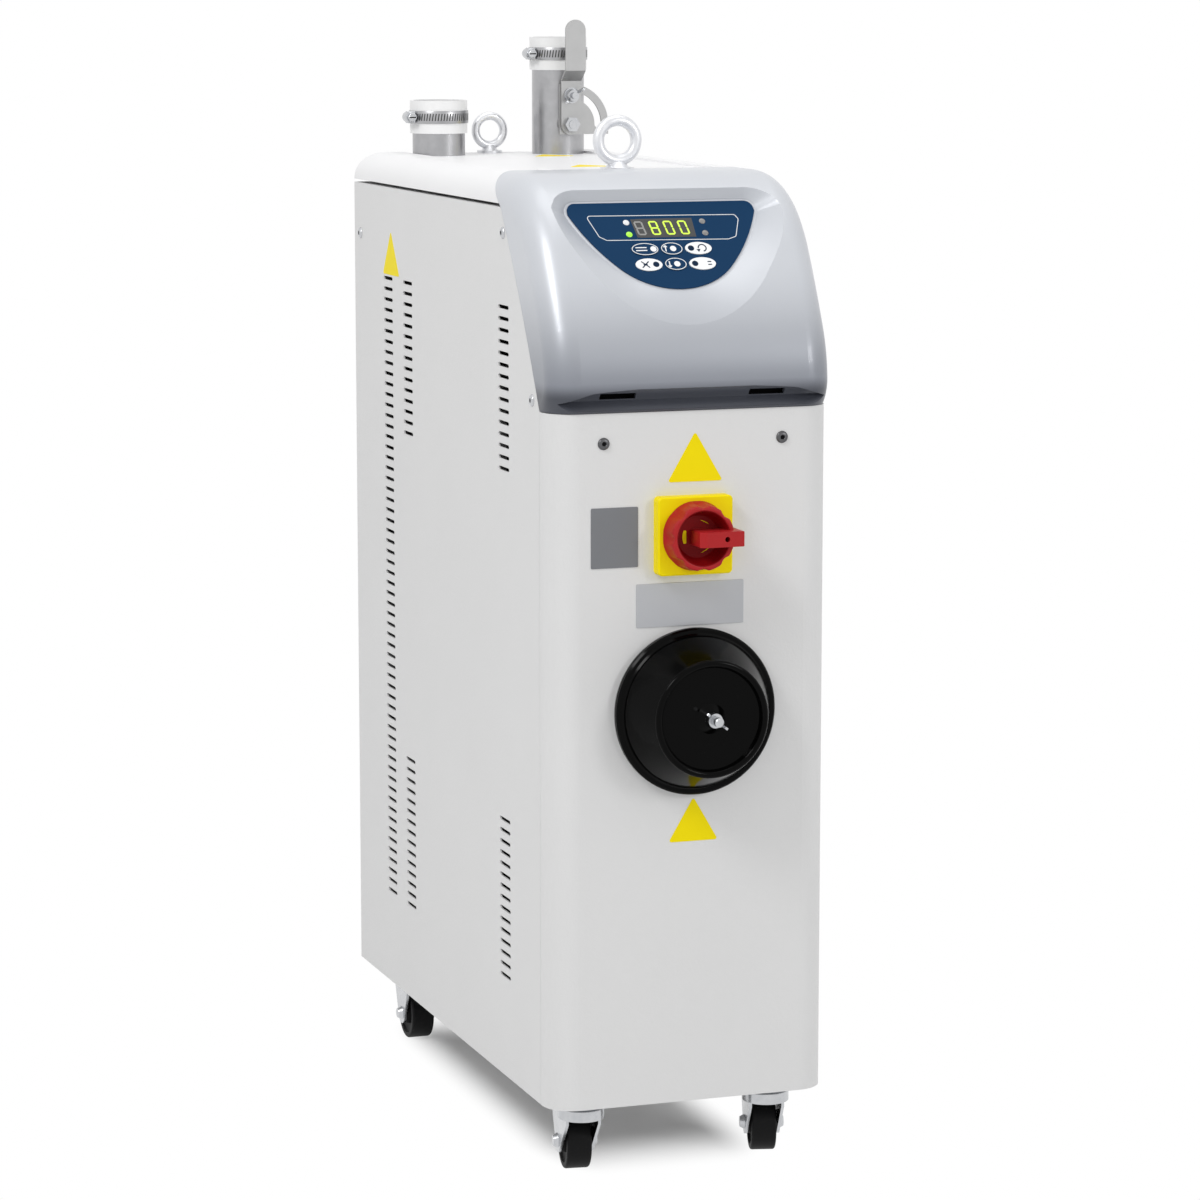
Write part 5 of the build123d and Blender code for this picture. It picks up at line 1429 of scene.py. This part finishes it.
@dataclass
class Studio:
    """Floor, soft lights and the camera.

    Attributes:
        camera_place: Camera position in metres.
        yaw: Turn of the view to the right, in degrees.
        pitch: Tilt of the view downwards, in degrees.
        focal: Focal length in pixels of the frame.
        frame_width: Width of the frame in pixels.
        sensor: Width of the sensor in millimetres.
        sight: How far the camera sees, in metres.
        floor_half: Half of the floor's width in metres.
        floor_front: Depth of the floor's front edge.
        bend_start: Depth where the floor starts to bend up.
        bend_radius: Radius of that bend.
        bend_angles: Angles of the points on the bend.
        wall_height: Height of the backdrop.
        floor_colour: Colour of the floor under the dryer.
        shadow_middle: Middle of the floor's shadow.
        shadow_core: Half sizes of its dark core.
        shadow_fade: How far it fades out beyond the core.
        world_light: Strength of the world as a light. It is seen at strength 1.
    """

    camera_place: Point3 = (-1.18982, -3.45613, 1.034726)
    yaw: float = 19.176
    pitch: float = 8.781
    focal: float = 4045.7
    frame_width: float = 1200.0
    sensor: float = 36.0
    sight: float = 60.0
    floor_half: float = 9.0
    floor_front: float = -6.0
    bend_start: float = 3.0
    bend_radius: float = 2.0
    bend_angles: tuple[float, ...] = (0.3, 0.6, 0.9, 1.2, math.pi / 2)
    wall_height: float = 8.0
    floor_colour: tuple[float, float, float, float] = (0.8, 0.8, 0.8, 1.0)
    shadow_middle: Point3 = (0.0, 0.06, 0.0)
    shadow_core: Point3 = (0.06, 0.17, 1.0)
    shadow_fade: Point3 = (0.05, 0.13, 1.0)
    world_light: float = 0.62

    LAMPS = (
        SoftBox("key_light", (-2.4, -1.4, 3.0), (0.0, 0.0, 0.6), 1.0, 42.0),
        SoftBox("front_light", (2.2, -3.4, 1.9), (0.0, 0.0, 0.5), 0.8, 24.0),
        SoftBox("top_light", (0.2, 0.1, 3.4), (0.0, 0.0, 0.8), 2.0, 17.0),
    )

    def build(self) -> None:
        """Set up the studio."""
        self._floor()
        for lamp in self.LAMPS:
            lamp.hang()
        self._world()
        self._camera()

    def _floor(self) -> None:
        """A pale floor that runs up into a backdrop."""
        mesh = bmesh.new()
        start, radius = self.bend_start, self.bend_radius
        section = [(self.floor_front, 0.0), (start, 0.0)]
        section += [(start + radius * math.sin(a), radius - radius * math.cos(a)) for a in self.bend_angles]
        section.append((start + radius, self.wall_height))
        sides = (-self.floor_half, self.floor_half)
        rows = [[mesh.verts.new((x, y, z)) for x in sides] for y, z in section]
        for low, high in zip(rows, rows[1:]):
            mesh.faces.new((low[0], low[1], high[1], high[0]))
        data = bpy.data.meshes.new("studio_floor")
        mesh.to_mesh(data)
        mesh.free()
        data.polygons.foreach_set("use_smooth", [True] * len(data.polygons))
        floor = bpy.data.objects.new("studio_floor", data)
        bpy.context.scene.collection.objects.link(floor)
        data.materials.append(self._floor_material())

    def _floor_material(self) -> bpy.types.Material:
        """Pale floor that keeps the shadow under the dryer and turns white further out.

        Returns:
            The finished material.
        """
        material = bpy.data.materials.new("studio_white")
        material.use_nodes = True
        tree = material.node_tree
        shader = tree.nodes["Principled BSDF"]
        shader.inputs["Base Color"].default_value = self.floor_colour
        shader.inputs["Roughness"].default_value = 0.9
        shader.inputs["Specular IOR Level"].default_value = 0.1
        white = tree.nodes.new("ShaderNodeEmission")
        white.inputs["Strength"].default_value = 1.0
        place = tree.nodes.new("ShaderNodeNewGeometry")
        share = tree.nodes.new("ShaderNodeMapRange")
        share.interpolation_type = "SMOOTHSTEP"
        tree.links.new(self._beyond(tree, place.outputs["Position"]), share.inputs["Value"])
        both = tree.nodes.new("ShaderNodeMath")
        both.operation = "MULTIPLY"
        tree.links.new(share.outputs["Result"], both.inputs[0])
        tree.links.new(self._seen(tree), both.inputs[1])
        mix = tree.nodes.new("ShaderNodeMixShader")
        tree.links.new(both.outputs["Value"], mix.inputs["Fac"])
        tree.links.new(shader.outputs["BSDF"], mix.inputs[1])
        tree.links.new(white.outputs["Emission"], mix.inputs[2])
        tree.links.new(mix.outputs["Shader"], tree.nodes["Material Output"].inputs["Surface"])
        return material

    def _beyond(self, tree: bpy.types.NodeTree, spot: bpy.types.NodeSocket) -> bpy.types.NodeSocket:
        """Tell how far a place lies outside the core of the shadow.

        Args:
            tree: Node tree to add to.
            spot: Where the place is read from.

        Returns:
            A socket that is 0 in the core and 1 where the shadow has faded out.
        """
        step = spot
        for operation, other in (
            ("SUBTRACT", self.shadow_middle), ("ABSOLUTE", None), ("SUBTRACT", self.shadow_core),
            ("MAXIMUM", (0, 0, 0)), ("DIVIDE", self.shadow_fade), ("LENGTH", None),
        ):
            node = tree.nodes.new("ShaderNodeVectorMath")
            node.operation = operation
            tree.links.new(step, node.inputs[0])
            if other:
                node.inputs[1].default_value = other
            step = node.outputs["Value" if operation == "LENGTH" else "Vector"]
        return step

    @staticmethod
    def _seen(tree: bpy.types.NodeTree) -> bpy.types.NodeSocket:
        """Tell rays that show the background from rays that light the dryer.

        Args:
            tree: Node tree to add to.

        Returns:
            A socket that is 1 for camera, glossy and transmission rays.
        """
        path = tree.nodes.new("ShaderNodeLightPath")
        seen = path.outputs["Is Camera Ray"]
        for name in ("Is Glossy Ray", "Is Transmission Ray"):
            either = tree.nodes.new("ShaderNodeMath")
            either.operation = "MAXIMUM"
            tree.links.new(seen, either.inputs[0])
            tree.links.new(path.outputs[name], either.inputs[1])
            seen = either.outputs["Value"]
        return seen

    def _world(self) -> None:
        """An even pale world."""
        world = bpy.context.scene.world or bpy.data.worlds.new("studio_world")
        bpy.context.scene.world = world
        world.use_nodes = True
        tree = world.node_tree
        sky = tree.nodes["Background"]
        sky.inputs["Color"].default_value = (1.0, 1.0, 1.0, 1.0)
        level = tree.nodes.new("ShaderNodeMapRange")
        level.inputs["To Min"].default_value = self.world_light
        level.inputs["To Max"].default_value = 1.0
        tree.links.new(self._seen(tree), level.inputs["Value"])
        tree.links.new(level.outputs["Result"], sky.inputs["Strength"])

    def _camera(self) -> None:
        """Camera at the photograph's viewing angle."""
        data = bpy.data.cameras.new("photo_camera")
        data.sensor_width = self.sensor
        data.lens = self.focal / self.frame_width * self.sensor
        data.clip_end = self.sight
        camera = bpy.data.objects.new("photo_camera", data)
        camera.location = self.camera_place
        camera.rotation_euler = (math.radians(90 - self.pitch), 0.0, -math.radians(self.yaw))
        bpy.context.scene.collection.objects.link(camera)
        bpy.context.scene.camera = camera


def main() -> None:
    """Dress the frame and set up the studio."""
    logging.basicConfig(level=logging.INFO)
    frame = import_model()
    bpy.context.scene.view_settings.view_transform = "Standard"
    shop = Workshop(frame)
    makers = (FrameFinishes, DialPrint, SignPlates, MainSwitch, HoseClamps, PanelScrews)
    for group in [maker(shop) for maker in makers]:
        LOG.info("dressing %s", type(group).__name__)
        group.dress()
    Studio().build()


if __name__ == "__main__":
    main()
